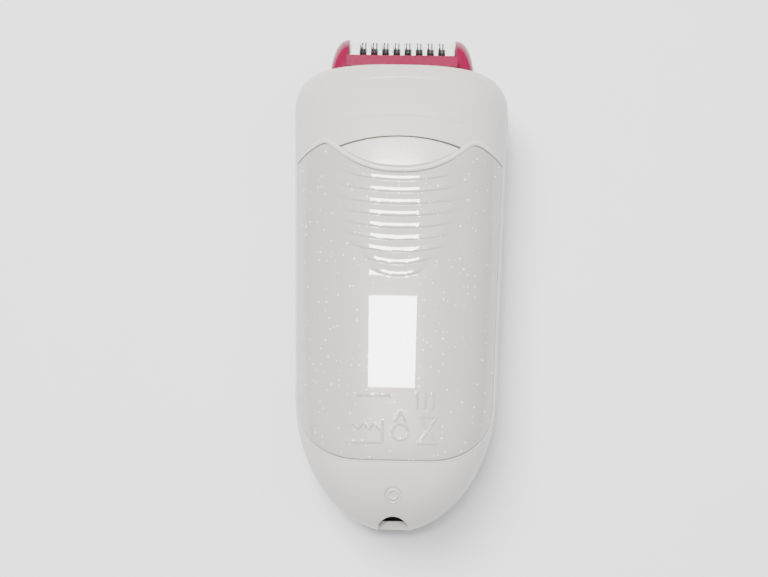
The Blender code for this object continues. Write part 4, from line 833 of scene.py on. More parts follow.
    def build(self, panel: BackPanel, button: ReleaseButton,
              controls: FrontControls) -> list[bpy.types.Object]:
        """Both shells with every opening cut.

        Args:
            panel: the panel that the shell leaves room for.
            button: the button that it leaves room for.
            controls: the front pieces that it leaves room for.

        Returns:
            The finished pieces.
        """
        form = self.form
        rear = self.shell("rear_shell", Part.REAR)
        plug_at = (0.0, form.along(PLUG_STATION))
        boss = Maker.turned("boss", [(28.2 * MM, 4.0 * MM), (31.1 * MM, 4.0 * MM)], Axis.Z, plug_at)
        Maker.combine(rear, boss, "UNION")
        for tool in (
            panel.slab("panel_tool", 0.12 * MM, -1.0 * MM, 1.2 * MM, plain=True),
            button.slab("button_tool", 0.28 * MM, -1.0 * MM, form.wall + 1.0 * MM),
            self.notch(form.along(-1.0 * MM), form.along(8.6 * MM)),
            self.wings(form.along(-1.0 * MM), form.along(6.0 * MM)),
            Maker.turned("counterbore", [(29.3 * MM, 2.45 * MM), (38.0 * MM, 2.45 * MM)], Axis.Z, plug_at),
            Maker.turned("screw_tool", [(27.0 * MM, 1.6 * MM), (31.0 * MM, 1.6 * MM)], Axis.Z, plug_at, 32),
        ):
            Maker.combine(rear, tool)
        front = self.shell("front_shell", Part.FRONT)
        switch_y = form.along(controls.station)
        for radius, low, high, operation in ((14.9, 1.2, 5.2, "UNION"), (12.5, -1.0, 3.0, "DIFFERENCE"),
                                             (3.3, 0.0, 6.2, "DIFFERENCE")):
            tool = Maker.turned("dish_tool", [(low * MM, radius * MM), (high * MM, radius * MM)], Axis.Z,
                                (0.0, switch_y), 96)
            Maker.combine(front, tool, operation)
        guide = Maker.turned("guide_tool", [(-1.0 * MM, 1.8 * MM), (3.4 * MM, 1.8 * MM)], Axis.Z,
                             (0.0, form.along(GUIDE_STATION)), 40)
        Maker.combine(front, guide)
        Maker.combine(front, controls.window_slab("window_tool", 0.3 * MM, -1.0 * MM, 3.4 * MM))
        for side in (-1, 1):
            Maker.combine(front, controls.unlock_slab("unlock_tool", side, 0.3 * MM, -1.0 * MM, 3.4 * MM))
            Maker.combine(front, controls.grip_slab("grip_tool", side, 0.3 * MM, -1.0 * MM, 1.2 * MM))
        return [install(rear, IVORY, "housing", "rear_housing"),
                install(front, IVORY, "housing", "front_housing")]


@dataclass
class BackPanel:
    """The glossy pearl panel with its grip ridges and moulded marks."""

    form: BodyForm
    thickness: float = 0.9 * MM
    reach: float = 0.955
    bottom: float = 19.8 * MM
    corner: float = 14.0 * MM
    corner_start: float = 0.3
    corner_power: float = 2.6
    top: float = 101.0 * MM
    peak: float = 110.0 * MM
    peak_out: float = 0.67
    peak_round: float = 0.7 * MM
    smile_power: float = TOP_EDGE_POWER
    shoulder: float = 105.5 * MM
    edge_radius: float = 0.45 * MM
    bead_width: float = 0.42 * MM
    lip_width: float = 1.45 * MM
    bead_height: float = 0.34 * MM
    ridge_first: float = 98.9 * MM
    ridge_pitch: float = 3.4 * MM
    ridge_height: float = 0.26 * MM
    ridge_edge: float = 0.40 * MM
    ridge_crest: float = 1.15 * MM
    ridge_lengths: tuple[float, ...] = (16.5, 18.0, 19.0, 18.4, 17.4, 16.2, 14.6, 11.0, 8.5)
    ridge_smile: float = 2.4 * MM
    mark_height: float = 0.22 * MM
    mark_stroke: float = 0.33 * MM

    def edges(self, share: Grid) -> tuple[Grid, Grid]:
        """Stations of the bottom and the top edge.

        The bottom has superelliptic corners. The top is a smile and two falls, joined by a soft minimum:
        minus the rounding times the logarithm of the sum of both exponentials.

        Args:
            share: shares of the half-width.

        Returns:
            Stations of the bottom edge and of the top edge.
        """
        out = np.abs(share)
        corner = np.clip((out - self.corner_start) / (self.reach - self.corner_start), 0.0, 1.0)
        power = self.corner_power
        low = self.bottom + self.corner * (1.0 - (1.0 - corner**power) ** (1.0 / power))
        smile = self.top + (self.peak - self.top) * (out / self.peak_out) ** self.smile_power
        fall = np.clip((out - self.peak_out) / (self.reach - self.peak_out), 0.0, 1.0)
        falling = self.peak - (self.peak - self.shoulder) * fall**1.4
        return low, -self.peak_round * np.logaddexp(-smile / self.peak_round, -falling / self.peak_round)

    def ridges(self, x: Grid, station: Grid) -> Grid:
        """Height of the grip ridges.

        Each ridge is a tooth along a smile, with a steep edge on its lower side, a level crest and a straight
        slope down towards the head. It fades out at both ends.

        Args:
            x: distances from the middle plane.
            station: distances from the bottom end.

        Returns:
            Heights above the panel.
        """
        total = np.zeros_like(x)
        for i, half in enumerate(self.ridge_lengths):
            half_length = half * MM
            line = self.ridge_first - i * self.ridge_pitch + self.ridge_smile * (x / half_length) ** 2
            past = station - line
            edge = BodyForm.smooth(past / self.ridge_edge + 1.0)
            slope = np.clip(1.0 - (past - self.ridge_crest) / (self.ridge_pitch - self.ridge_crest), 0.0, 1.0)
            end = BodyForm.smooth((half_length - np.abs(x)) / (4.5 * MM))
            total = np.maximum(total, self.ridge_height * edge * slope * end)
        return total

    def marks(self, x: Grid, station: Grid) -> Grid:
        """Height of plain moulded marks: a wavy tub, a ring under a peak, crossed lines, bars and dashes.

        Args:
            x: distances from the middle plane.
            station: distances from the bottom end.

        Returns:
            Heights above the panel.
        """
        stroke = self.mark_stroke

        def segment(ax: float, ay: float, bx: float, by: float) -> Grid:
            """Distance to a straight stroke between two points in millimetres.

            Args:
                ax: where it starts, across.
                ay: where it starts, along the body.
                bx: where it ends, across.
                by: where it ends, along the body.

            Returns:
                Distances.
            """
            start, run = np.array((ax, ay)) * MM, np.array((bx - ax, by - ay)) * MM
            share = np.clip(((x - start[0]) * run[0] + (station - start[1]) * run[1]) / (run @ run), 0.0, 1.0)
            return np.hypot(x - start[0] - share * run[0], station - start[1] - share * run[1])

        def ring(cx: float, cy: float, radius: float) -> Grid:
            """Distance to a round stroke about a point in millimetres."""
            return np.abs(np.hypot(x - cx * MM, station - cy * MM) - radius * MM)

        lines = [
            segment(-12.3, 30.5, -12.3, 24.6), segment(-12.3, 24.6, -3.3, 24.6),
            segment(-3.3, 24.6, -3.3, 30.5),
            ring(1.6, 27.6, 2.2), segment(0.2, 30.6, 1.6, 33.2), segment(1.6, 33.2, 3.0, 30.6),
            segment(7.0, 24.6, 11.6, 31.8), segment(11.6, 24.6, 7.0, 31.8), segment(7.0, 31.8, 11.6, 31.8),
            segment(6.6, 24.6, 12.0, 24.6),
        ]
        wave = np.abs(station - (29.0 + 0.7 * np.sin((x / MM + 12.3) * 2.1)) * MM)
        lines.append(np.where((x > -12.3 * MM) & (x < -3.3 * MM), wave, 1.0))
        for start in (-10.5, -8.0, -5.5, -3.0):
            lines.append(segment(start, 37.6, start + 1.5, 37.6))
        for start in (6.2, 8.4, 10.6):
            lines.append(segment(start, 34.4, start, 38.4))
        distance = np.minimum.reduce(lines)
        return self.mark_height * np.clip((stroke - distance) / (0.2 * MM), 0.0, 1.0)

    def fine_steps(self) -> tuple[Grid, Grid]:
        """Shares across and along the panel, closest together under marks, ridges and the rounded edge.

        Returns:
            Shares across, from -1 to 1, and along, from 0 to 1.
        """
        middle = np.linspace(0.0, 13.2, 67)
        edge = 27.6 + 2.0 * np.sin(np.linspace(0, 1.57, 13))[1:]
        half = np.concatenate((middle, np.linspace(13.2, 27.6, 15)[1:], edge))
        half /= half[-1]
        spans = ((19.8, 22.0, 14), (22.0, 24.0, 5), (24.0, 39.5, 82), (39.5, 70.0, 12), (70.0, 100.2, 118))
        along = np.concatenate([np.linspace(low, high, count)[:-1] for low, high, count in spans])
        along = np.concatenate((along, 100.2 + 0.8 * np.sin(np.linspace(0, 1.57, 9))))
        along[:14] = 19.8 + 2.2 * (1.0 - np.cos(np.linspace(0.0, 1.57, 14)))
        along = np.maximum.accumulate(along)
        return np.concatenate((-half[:0:-1], half)), (along - along[0]) / (along[-1] - along[0])

    def slab(self, name: str, margin: float, outer: float, inner: float,
             plain: bool = False) -> bpy.types.Object:
        """The panel's closed slab, widened by margin, between two insets; plain leaves the relief out.

        Args:
            name: the object's name.
            margin: how much wider it is on every side.
            outer: how deep the outer side lies.
            inner: how deep the inner side lies.
            plain: whether the relief is left out.

        Returns:
            The new object.
        """
        form = self.form
        fractions, ramp = (2.0 * eased(81, 0.7) - 1.0, eased(90, 0.5)) if plain else self.fine_steps()
        low, high = self.edges(fractions * self.reach)
        shares = fractions * (self.reach + 2.0 * margin / form.bottom_width)
        ramp = ramp[:, None]
        stations = low - margin + (high - low + 2.0 * margin) * ramp
        thetas = form.back_angle(shares)[None, :]
        x = shares[None, :] * form.half_width(stations)
        inset = np.full(stations.shape, outer)
        if not plain:
            beside = (self.reach - np.abs(shares[None, :])) * 0.8 * form.shoulder_width
            border = np.minimum(np.minimum(stations - low, high - stations), beside)
            inset = rounded(border, self.edge_radius) - self.ridges(x, stations) - self.marks(x, stations)
        return Maker.slab(name, form.points(stations, thetas, inset), form.points(stations, thetas, inner))

    def outline(self) -> tuple[Grid, Grid]:
        """The panel's closed outline seen from above, and the width of the lip beside each of its points.

        Returns:
            Points as x and station, anticlockwise, and widths that swell along the top edge.
        """
        form = self.form
        shares = self.reach * np.sin(np.linspace(-math.pi / 2, math.pi / 2, 241))
        low, high = self.edges(shares)
        rise = np.linspace(0.0, 1.0, 101)[1:-1]
        side = low[-1] + (high[-1] - low[-1]) * rise
        station = np.concatenate((low, side, high[::-1], side[::-1]))
        share = np.concatenate((shares, np.full(99, self.reach), shares[::-1], np.full(99, -self.reach)))
        swell = form.smooth((self.reach - np.abs(shares)) / 0.22)
        width = np.concatenate((np.zeros(241), np.zeros(99), swell[::-1], np.zeros(99)))
        width = self.bead_width + (self.lip_width - self.bead_width) * width
        return np.stack((share * form.half_width(station), station), axis=-1), width

    def bead(self) -> bpy.types.Object:
        """The housing's lip around the panel: a low rounded band carried along the outline.

        Across the band the height is a half sine wave to a power, and both its edges go down into the wall.

        Returns:
            The new object.
        """
        form = self.form
        path, width = self.outline()
        ahead = np.roll(path, -1, axis=0) - np.roll(path, 1, axis=0)
        ahead /= np.linalg.norm(ahead, axis=1, keepdims=True)
        out = np.stack((ahead[:, 1], -ahead[:, 0]), axis=-1)
        across = np.concatenate((np.linspace(0.0, 1.0, 13), [0.92, 0.08]))
        crown = np.sin(np.linspace(0.0, math.pi, 13)) ** 0.6
        height = np.concatenate((crown, [-3.0, -3.0])) * self.bead_height
        height[[0, 12]] = -0.06 * MM
        offset = 0.10 * MM + width[:, None] * across
        x = path[:, :1] + out[:, :1] * offset
        station = path[:, 1:] + out[:, 1:] * offset
        share = np.minimum(np.abs(x / form.half_width(station)), 0.9999)
        lift = height * np.clip(0.5 + 0.5 * width[:, None] / self.lip_width, 0.0, 1.0)
        up = form.back_height(station) * (1.0 - share**form.back_power) ** (1.0 / form.back_power)
        points = np.stack((x, form.along(station), form.parting + up + lift), axis=-1)
        rows, columns = points.shape[:2]
        ring = np.arange(rows)[:, None] * columns + np.arange(columns)
        after, beside = np.roll(ring, -1, axis=0), np.roll(ring, -1, axis=1)
        faces = np.stack((ring, beside, np.roll(beside, -1, axis=0), after), axis=-1).reshape(-1, 4)
        return Maker.from_arrays("panel_lip", points, faces.tolist())

    def build(self) -> list[bpy.types.Object]:
        """The finished panel and the lip around it.

        Returns:
            The finished pieces.
        """
        item = self.slab("pearl_panel_piece", 0.0, 0.0, self.thickness)
        # The lip is part of the ivory housing; its lighter button ivory is a painted highlight along the
        # panel's edge.
        return [install(item, PEARL, "housing", "back_panel"),
                install(self.bead(), IVORY_BUTTON_AND_PAINTED_LIP_HIGHLIGHT, "housing")]


@dataclass
class ReleaseButton:
    """The lens-shaped release button with its tongue."""

    form: BodyForm
    half: float = 17.3 * MM
    low: float = 102.6 * MM
    tip: float = 108.4 * MM
    high: float = 111.3 * MM
    thickness: float = 2.4 * MM
    edge_radius: float = 0.5 * MM

    def slab(self, name: str, margin: float, outer: float, inner: float,
             eased_edge: bool = False) -> bpy.types.Object:
        """The lens between two arcs.

        The lower arc rises with the same power of x as the panel's top edge. The upper falls with its square.

        Args:
            name: the object's name.
            margin: how much wider it is on every side.
            outer: how deep the outer side lies.
            inner: how deep the inner side lies.
            eased_edge: whether its edge is rounded.

        Returns:
            The new object.
        """
        form = self.form
        fractions = np.sin(np.linspace(-1.0, 1.0, 81) * math.radians(84.0))
        low = self.low + (self.tip - self.low) * np.abs(fractions) ** TOP_EDGE_POWER
        high = self.high - (self.high - self.tip) * fractions**2
        shares = fractions * (self.half + 2.0 * margin) / form.half_width(np.array(self.tip))
        stations = low - margin + (high - low + 2.0 * margin) * eased(41, 0.6)[:, None]
        thetas = form.back_angle(shares)[None, :]
        inset: Grid | float = outer
        if eased_edge:
            inset = outer + rounded(np.minimum(stations - low, high - stations), self.edge_radius)
        return Maker.slab(name, form.points(stations, thetas, inset), form.points(stations, thetas, inner))

    def build(self) -> bpy.types.Object:
        """The finished button, with the tongue and post that reach the head.

        Returns:
            The new object.
        """
        form = self.form
        item = self.slab("button_piece", 0.0, 0.0, self.thickness, eased_edge=True)
        tongue = Maker.box("tongue", (-3.8 * MM, form.along(self.tip), 34.9 * MM),
                           (3.8 * MM, form.along(124.6 * MM), 36.3 * MM))
        post = Maker.box("post", (-4.1 * MM, form.along(107.4 * MM), 35.2 * MM),
                         (4.1 * MM, form.along(109.9 * MM), 38.0 * MM))
        Maker.combine(item, tongue, "UNION")
        Maker.combine(item, post, "UNION")
        return install(item, IVORY_BUTTON_AND_PAINTED_LIP_HIGHLIGHT, "button", "release_button")


@dataclass
class FrontControls:
    """Everything on the front: the switch, its unlock buttons, the light window and the side grips."""

    form: BodyForm
    station: float = 85.0 * MM
    knob_radius: float = 12.05 * MM
    grip_ribs: int = 9

    def wrapped(self, name: str, stations: tuple[float, float], thetas: tuple[float, float], outer: float,
                inner: float, margin: float = 0.0, round_edge: float = 0.0,
                ribs: int = 0) -> bpy.types.Object:
        """A slab that follows the body between two stations and two angles, with a rounded edge and ribs.

        Args:
            name: the object's name.
            stations: where it starts and ends along the body.
            thetas: the angles it lies between.
            outer: how deep the outer side lies.
            inner: how deep the inner side lies.
            margin: how much wider it is on every side.
            round_edge: the radius of its edge.
            ribs: how many cross ribs it has.

        Returns:
            The new object.
        """
        form = self.form
        spread = margin / (form.bottom_width / 2)
        rows = (stations[0] - margin + (stations[1] - stations[0] + 2 * margin) * eased(49, 0.5))[:, None]
        columns = (thetas[0] - spread + (thetas[1] - thetas[0] + 2 * spread) * eased(41, 0.5))[None, :]
        radius = form.bottom_width / 2
        border = np.minimum(np.minimum(rows - rows[0], rows[-1] - rows),
                            np.minimum(columns - columns[0, 0], columns[0, -1] - columns) * radius)
        inset = outer + (rounded(border, round_edge) if round_edge else 0.0 * border)
        if ribs:
            phase = (rows - rows[0]) / (rows[-1] - rows[0]) * ribs * 2.0 * math.pi
            inset = inset + 0.12 * MM * (1.0 + np.cos(phase))
        return Maker.slab(name, form.points(rows, columns, inset), form.points(rows, columns, inner))

    def window_slab(self, name: str, margin: float, outer: float, inner: float,
                    round_edge: float = 0.0) -> bpy.types.Object:
        """The light window's slab.

        Args:
            name: the object's name.
            margin: how much wider it is on every side.
            outer: how deep the outer side lies.
            inner: how deep the inner side lies.
            round_edge: the radius of its edge.

        Returns:
            The new object.
        """
        spread = math.radians(15.0)
        angles = (math.pi - spread, math.pi + spread)
        return self.wrapped(name, (116.0 * MM, 121.0 * MM), angles, outer, inner, margin, round_edge)

    def unlock_slab(self, name: str, side: int, margin: float, outer: float, inner: float,
                    round_edge: float = 0.0) -> bpy.types.Object:
        """An unlock button's slab on one side of the switch.

        Args:
            name: the object's name.
            side: -1 for left, 1 for right.
            margin: how much wider it is on every side.
            outer: how deep the outer side lies.
            inner: how deep the inner side lies.
            round_edge: the radius of its edge.

        Returns:
            The new object.
        """
        near, far = math.radians(215.0), math.radians(225.0)
        angles = (near, far) if side < 0 else (2 * math.pi - far, 2 * math.pi - near)
        span = (self.station - 4.5 * MM, self.station + 4.5 * MM)
        return self.wrapped(name, span, angles, outer, inner, margin, round_edge)

    def grip_slab(self, name: str, side: int, margin: float, outer: float, inner: float,
                  round_edge: float = 0.0, ribs: int = 0) -> bpy.types.Object:
        """A side grip's slab.

        Args:
            name: the object's name.
            side: -1 for left, 1 for right.
            margin: how much wider it is on every side.
            outer: how deep the outer side lies.
            inner: how deep the inner side lies.
            round_edge: the radius of its edge.
            ribs: how many cross ribs it has.

        Returns:
            The new object.
        """
        near, far = math.radians(95.0), math.radians(114.0)
        angles = (near, far) if side > 0 else (2 * math.pi - far, 2 * math.pi - near)
        return self.wrapped(name, (118.0 * MM, 126.0 * MM), angles, outer, inner, margin, round_edge, ribs)

    def knob(self) -> bpy.types.Object:
        """The switch: a disc with an eased rim, a grip bar across it and a stub behind.

        Returns:
            The new object.
        """
        switch_y = self.form.along(self.station)
        r = self.knob_radius
        profile = [(1.7 * MM, r - 0.5 * MM), (1.85 * MM, r - 0.15 * MM), (2.1 * MM, r), (2.7 * MM, r),
                   (2.7 * MM, 3.0 * MM), (6.8 * MM, 3.0 * MM)]
        item = Maker.turned("switch_piece", profile, Axis.Z, (0.0, switch_y), 96)
        length, half = r - 1.5 * MM, 1.6 * MM
        angles = np.linspace(0.0, math.pi, 17)
        cap = np.stack((half * np.cos(angles), length - half + half * np.sin(angles)), axis=-1)
        outline = np.concatenate((cap, -cap)) + np.array((0.0, switch_y))
        Maker.combine(item, Maker.drawn("bar", outline, Axis.Z, 0.6 * MM, 2.0 * MM), "UNION")
        Maker.bevel(item, 0.2 * MM)
        return item

    def build(self) -> list[bpy.types.Object]:
        """Every front piece, dressed and riding on its body.

        Returns:
            The finished pieces.
        """
        pieces = [install(self.knob(), WHITE, "switch", "switch_knob")]
        for number, side in ((1, -1), (2, 1)):
            unlock = self.unlock_slab(f"unlock_piece_{number}", side, 0.0, 0.0, 2.8 * MM, 0.4 * MM)
            label = "left" if side < 0 else "right"
            grip = self.grip_slab(f"grip_piece_{label}", side, 0.0, -0.5 * MM, 0.9 * MM, 0.4 * MM,
                                  self.grip_ribs)
            pieces += [install(unlock, WHITE, f"unlock_{number}", f"unlock_button_{number}"),
                       install(grip, RUBBER, "housing", f"side_grip_{label}")]
        window = self.window_slab("window_piece", 0.0, 0.0, 2.1 * MM, 0.3 * MM)
        return pieces + [install(window, LENS, "housing", "light_window")]


@dataclass
class ScrewPlug:
    """The round plug over the housing screw: ring, groove and centre dimple, sloped with the housing."""

    form: BodyForm
    station: float = PLUG_STATION
    radius: float = 2.4 * MM
    bottom: float = 31.1 * MM
    sunk: float = 0.05 * MM

    def build(self) -> bpy.types.Object:
        """A turned plug whose top rings are lifted by the housing's height at their own station.

        Returns:
            The new object.
        """
        form = self.form
        r = self.radius
        top = 40.0 * MM
        steps = ((0.35, r / MM), (0.28, 2.25), (0.45, 2.0), (0.45, 1.75), (0.10, 1.5), (0.03, 1.35),
                 (0.10, 1.15), (0.38, 0.9), (0.42, 0.5), (0.42, 0.03))
        profile = [(self.bottom, r)] + [(top - drop * MM, radius * MM) for drop, radius in steps]
        item = Maker.turned("plug_piece", profile, Axis.Z, (0.0, form.along(self.station)), 72)
        places = np.empty(len(item.data.vertices) * 3)
        item.data.vertices.foreach_get("co", places)
        places = places.reshape(-1, 3)
        surface = form.parting + form.back_height(places[:, 1] + form.length / 2) - self.sunk
        lifted = places[:, 2] > self.bottom + 0.1 * MM
        places[:, 2] = np.where(lifted, places[:, 2] - top + surface, places[:, 2])
        item.data.vertices.foreach_set("co", places.ravel())
        item.data.update()
        return install(item, IVORY, "housing", "screw_plug")


@dataclass
class Head:
    """The pull-off head: a pink frame with two ears and two walls, and the white roller core."""

    form: BodyForm
    base_low: float = 122.6 * MM
    deck: float = 134.0 * MM
    wall_top: float = 137.0 * MM
    wall_thickness: float = 2.6 * MM
    ear_inner: float = 15.9 * MM
    ear_reach: float = 5.5 * MM
    ear_half_depth: float = 9.6 * MM
    ear_power: float = 2.3
    height: float = 21.0 * MM
    roller_station: float = 138.4 * MM
    roller_half: float = 15.5 * MM
    drum: float = 6.6 * MM
    hub: float = 2.6 * MM
    columns: int = 8
    pitch: float = 3.35 * MM
    groove_half: float = 1.05 * MM

    def ear(self, name: str, side: int) -> bpy.types.Object:
        """One ear: half-ellipse rings that lose height and depth along a superellipse towards the outside.

        Args:
            name: the object's name.
            side: -1 for left, 1 for right.

        Returns:
            The new object.
        """
        foot = self.deck - 0.6 * MM
        height = self.form.length - foot
        outs = self.ear_inner + self.ear_reach * np.sin(np.linspace(0.0, math.radians(87.0), 25))
        share = (1.0 - ((outs - self.ear_inner) / self.ear_reach) ** self.ear_power) ** (1.0 / self.ear_power)
        angles = np.linspace(0.0, math.pi, 49)
        depth = self.ear_half_depth * (0.6 + 0.4 * share)
        across = depth[:, None] * np.cos(angles)
        up = height * share[:, None] * np.sin(angles)
        x = np.broadcast_to(side * outs[:, None], across.shape)
        points = np.stack((x, self.form.along(foot + up), self.height + across), axis=-1)
        count, width = points.shape[:2]
        faces = Maker.quads(count, width, wrap=True).tolist()
        faces += [list(range(width)), list(range((count - 1) * width, count * width))]
        return Maker.from_arrays(name, points, faces)

    def base_outline(self) -> Grid:
        """The mouth's section, a clearance inside the housing's wall.

        Returns:
            Corners as x and height.
        """
        thetas = np.linspace(0.0, 2.0 * math.pi, 144, endpoint=False)
        points = self.form.points(np.full_like(thetas, self.form.rim), thetas, self.form.wall + 0.4 * MM)
        keep = np.abs(points[:, 2] - self.form.parting) > self.form.parting_gap
        return points[keep][:, (0, 2)]

    def frame(self) -> bpy.types.Object:
        """The head's frame with its cup, roller trough, gear pocket, tongue pocket and bush seats.

        Returns:
            The new object.
        """
        form = self.form
        outline = self.base_outline()
        top, low = outline[:, 1].max(), outline[:, 1].min()
        item = Maker.drawn("head_piece", outline, Axis.Y, form.along(self.base_low), form.along(self.deck))
        reach = self.ear_inner + 0.3 * MM
        foot = form.along(self.deck - 0.3 * MM)
        back_wall = Maker.box("back_wall", (-reach, foot, top - self.wall_thickness - 0.3 * MM),
                              (reach, form.along(self.wall_top), top - 0.3 * MM))
        front_wall = Maker.box("front_wall", (-reach, foot, low + 0.3 * MM),
                               (reach, form.along(self.wall_top - 1.0 * MM), low + self.wall_thickness))
        for tool in (self.ear("left_ear", -1), self.ear("right_ear", 1), back_wall, front_wall):
            Maker.combine(item, tool, "UNION")
        axis = (form.along(self.roller_station), self.height)
        cup_top = form.along(self.roller_station) - 9.4 * MM
        below = form.along(self.base_low - 1.0 * MM)
        tools = (
            Maker.turned("trough", [(-self.ear_inner, 7.6 * MM), (self.ear_inner, 7.6 * MM)], Axis.X, axis,
                         96),
            Maker.box("cup", (-14.5 * MM, below, low + 2.8 * MM), (14.5 * MM, cup_top, top - 2.8 * MM)),
            Maker.box("gear_pocket", (15.6 * MM, below, self.height - 5.83 * MM),
                      (17.5 * MM, axis[0], self.height + 5.83 * MM)),
            Maker.turned("gear_arch", [(15.65 * MM, 5.88 * MM), (17.55 * MM, 5.88 * MM)], Axis.X, axis, 72),
            Maker.box("tongue_pocket", (-4.4 * MM, below, 33.3 * MM),
                      (4.4 * MM, form.along(125.2 * MM), top + 1.0 * MM)),
            Maker.turned("left_seat", [(-17.9 * MM, 2.5 * MM), (-14.9 * MM, 2.5 * MM)], Axis.X, axis, 40),
            Maker.turned("right_seat", [(17.2 * MM, 2.5 * MM), (19.5 * MM, 2.5 * MM)], Axis.X, axis, 40),
        )
        for tool in tools:
            Maker.combine(item, tool)
        return item

    def core(self) -> bpy.types.Object:
        """The roller's core: eased drum segments between deep grooves, bored for its shaft.

        Returns:
            The new object.
        """
        ease = 0.12 * MM
        profile = [(-self.roller_half, self.drum - ease), (-self.roller_half + ease, self.drum)]
        for i in range(self.columns):
            x = (i - (self.columns - 1) / 2) * self.pitch
            g = self.groove_half
            profile += [(x - g - ease, self.drum), (x - g, self.drum - ease), (x - g, self.hub),
                        (x + g, self.hub), (x + g, self.drum - ease), (x + g + ease, self.drum)]
        profile += [(self.roller_half - ease, self.drum), (self.roller_half, self.drum - ease),
                    (self.roller_half, 1.5 * MM), (-self.roller_half, 1.5 * MM)]
        centre = (self.form.along(self.roller_station), self.height)
        item = Maker.turned("roller_piece", profile, Axis.X, centre, 96, closed=True)
        for i in range(5):
            angle = 2.0 * math.pi * i / 5
            corners = np.array([(3.65, -1.05), (5.35, -1.05), (5.35, 1.05), (3.65, 1.05)]) * MM
            turn = np.array(((math.cos(angle), math.sin(angle)), (-math.sin(angle), math.cos(angle))))
            outline = corners @ turn + np.array(centre)
            Maker.combine(item, Maker.drawn("channel", outline, Axis.X, -17.0 * MM, 17.0 * MM))
        return item

    def build(self) -> list[bpy.types.Object]:
        """The frame and the core, dressed.

        Returns:
            The finished pieces.
        """
        shell = self.frame()
        Maker.bevel(shell, 0.22 * MM, 3)
        return [install(shell, PINK, "head", "head_frame"),
                install(self.core(), WHITE, "roller", "roller_core")]


@dataclass
class CarriedPieces:
    """The pieces that keep their own shape and get a finer finish."""

    nodes: dict[str, bpy.types.Object]
    finishes: dict[str, Finish] = field(default_factory=lambda: {
        "tweezer_disc": TWEEZER, "clamp_bar": TWEEZER, "charging_socket": BLACK, "contact_pin": BRASS,
        "switch_seal": RUBBER, "work_light_led": LENS, "charge_light_guide": LENS, "motor_can": STEEL,
        "motor_shaft": STEEL, "motor_pinion": BRASS, "motor_screw": STEEL, "gear_bracket": WHITE,
        "crown_gear": GEAR, "crown_pinion": BRASS, "crown_shaft": STEEL, "output_gear": GEAR,
        "output_shaft": STEEL, "output_seal": RUBBER, "battery_cell": WRAP, "battery_tab": STEEL,
        "circuit_board": BOARD, "chassis": WHITE, "head_seat": WHITE, "seat_screw": STEEL,
        "housing_screw": STEEL, "head_idler_gear": GEAR, "idler_pin": STEEL, "roller_shaft": STEEL,
        "roller_gear": GEAR, "roller_bush": BRASS, "release_spring": STEEL,
    })

    def build(self) -> int:
        """Dresses every carried node and returns how many there are.

        Returns:
            How many there are.
        """
        count = 0
        for name, item in self.nodes.items():
            finish = next((f for prefix, f in self.finishes.items() if name.startswith(prefix)), None)
            if finish is None:
                continue
            finish.dress(item)
            count += 1
        return count


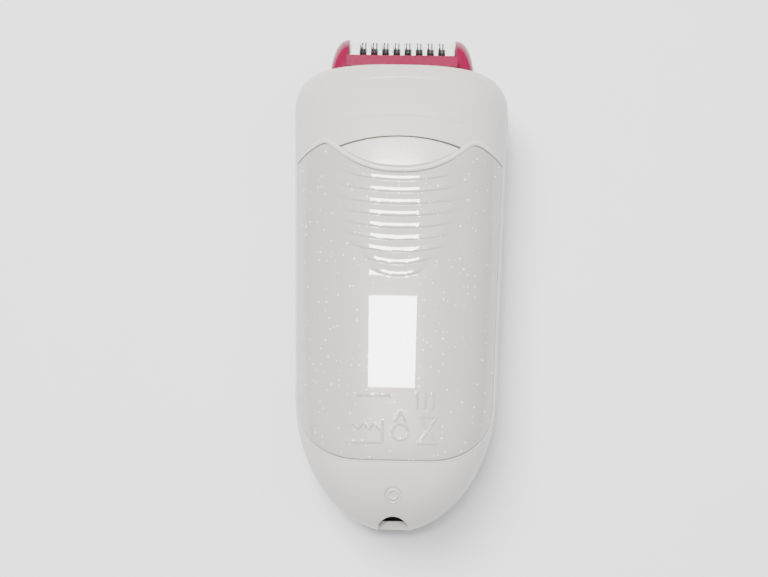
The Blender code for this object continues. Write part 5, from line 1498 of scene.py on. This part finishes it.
@dataclass
class Studio:
    """Pale floor, soft light and the camera."""

    lens: float = 56.25
    sensor: float = 36.0
    place: tuple[float, float, float] = (3.87 * MM, -53.3 * MM, 372.2 * MM)
    tilt: float = 8.18
    pan: float = 1.12
    roll: float = 1.25

    def floor(self) -> bpy.types.Object:
        """A wide, barely uneven sheet just under the object: a slow sum of two sine waves.

        Returns:
            The new object.
        """
        steps = np.linspace(-1.6, 1.6, 161)
        x, y = np.meshgrid(steps, steps)
        swell = (np.sin(x * 9.0) * np.cos(y * 7.0) - 1.0) * 0.03 * MM
        points = np.stack((x, y, swell), axis=-1)
        item = Maker.from_arrays("floor", points, Maker.quads(161, 161).tolist())
        if item.data.polygons[0].normal.z < 0.0:
            item.data.flip_normals()
        FLOOR.dress(item)
        item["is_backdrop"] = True
        return item

    def lamp(self, name: str, place: tuple[float, float, float], size: tuple[float, float], power: float,
             aim: tuple[float, float, float] = (0.0, 0.0, 0.02)) -> bpy.types.Object:
        """A rectangular area light aimed at a point.

        Args:
            name: the object's name.
            place: where it is.
            size: its width and height.
            power: its power in watts.
            aim: the point it faces.

        Returns:
            The new object.
        """
        data = bpy.data.lights.new(name, "AREA")
        data.shape = "RECTANGLE"
        data.size, data.size_y = size
        data.energy = power
        item = bpy.data.objects.new(name, data)
        item.location = place
        item.rotation_euler = (Vector(aim) - Vector(place)).to_track_quat("-Z", "Y").to_euler()
        bpy.context.collection.objects.link(item)
        item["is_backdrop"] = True
        return item

    @staticmethod
    def surround(tree: bpy.types.NodeTree) -> None:
        """Light from all round, dim near the horizon and bright overhead, by the height of its direction.

        Args:
            tree: the world's node tree.
        """
        direction = tree.nodes.new("ShaderNodeTexCoord")
        split = tree.nodes.new("ShaderNodeSeparateXYZ")
        ramp = tree.nodes.new("ShaderNodeValToRGB")
        ramp.color_ramp.elements[0].color = (0.10, 0.095, 0.09, 1.0)
        ramp.color_ramp.elements[1].color = (0.50, 0.515, 0.54, 1.0)
        ramp.color_ramp.elements[1].position = 0.9
        tree.links.new(direction.outputs["Generated"], split.inputs["Vector"])
        tree.links.new(split.outputs["Z"], ramp.inputs["Fac"])
        tree.links.new(ramp.outputs["Color"], tree.nodes["Background"].inputs["Color"])

    def build(self) -> None:
        """Floor, lamps, surrounding light and camera."""
        self.floor()
        for name, place, size, power in (("ceiling", (-0.45, 0.65, 1.5), 0.8, 62.0),
                                         ("fill", (0.8, 0.1, 1.3), 0.8, 9.0)):
            self.lamp(name, place, (size, size), power).visible_glossy = False
        window = self.lamp("window", (-0.042, 0.075, 1.0), (0.236, 0.100), 8.0)
        window.rotation_euler = Euler((0.0, 0.0, 0.0))
        world = bpy.data.worlds.new("surround")
        world.use_nodes = True
        self.surround(world.node_tree)
        bpy.context.scene.world = world
        data = bpy.data.cameras.new("camera")
        data.lens = self.lens
        data.sensor_width = self.sensor
        data.clip_start = 0.01
        camera = bpy.data.objects.new("camera", data)
        camera.location = self.place
        camera.rotation_euler = Euler(tuple(math.radians(v) for v in (self.tilt, self.pan, self.roll)))
        bpy.context.collection.objects.link(camera)
        bpy.context.scene.camera = camera


def corners() -> list[list[float]]:
    """The shown object's box as plain lists."""
    return [[float(value) for value in corner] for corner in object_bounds()]


def main() -> None:
    """Builds every sub-assembly in order, sized from the shown object's box."""
    logging.basicConfig(level=logging.INFO, format="%(name)s: %(message)s")
    before = corners()
    collar_rise = before[1][2] - BodyForm.parting - BodyForm.back
    form = BodyForm(length=before[1][1] - before[0][1], collar_rise=collar_rise)
    panel, button, controls = BackPanel(form), ReleaseButton(form), FrontControls(form)
    for item in Housing(form).build(panel, button, controls):
        LOG.info("%s: %d faces", item.name, len(item.data.polygons))
    plug, head = ScrewPlug(form), Head(form)
    for item in (*panel.build(), button.build(), *controls.build(), plug.build(), *head.build()):
        LOG.info("%s: %d faces", item.name, len(item.data.polygons))
    LOG.info("carried pieces: %d", CarriedPieces(frame["nodes"]).build())
    Studio().build()


if __name__ == "__main__":
    main()
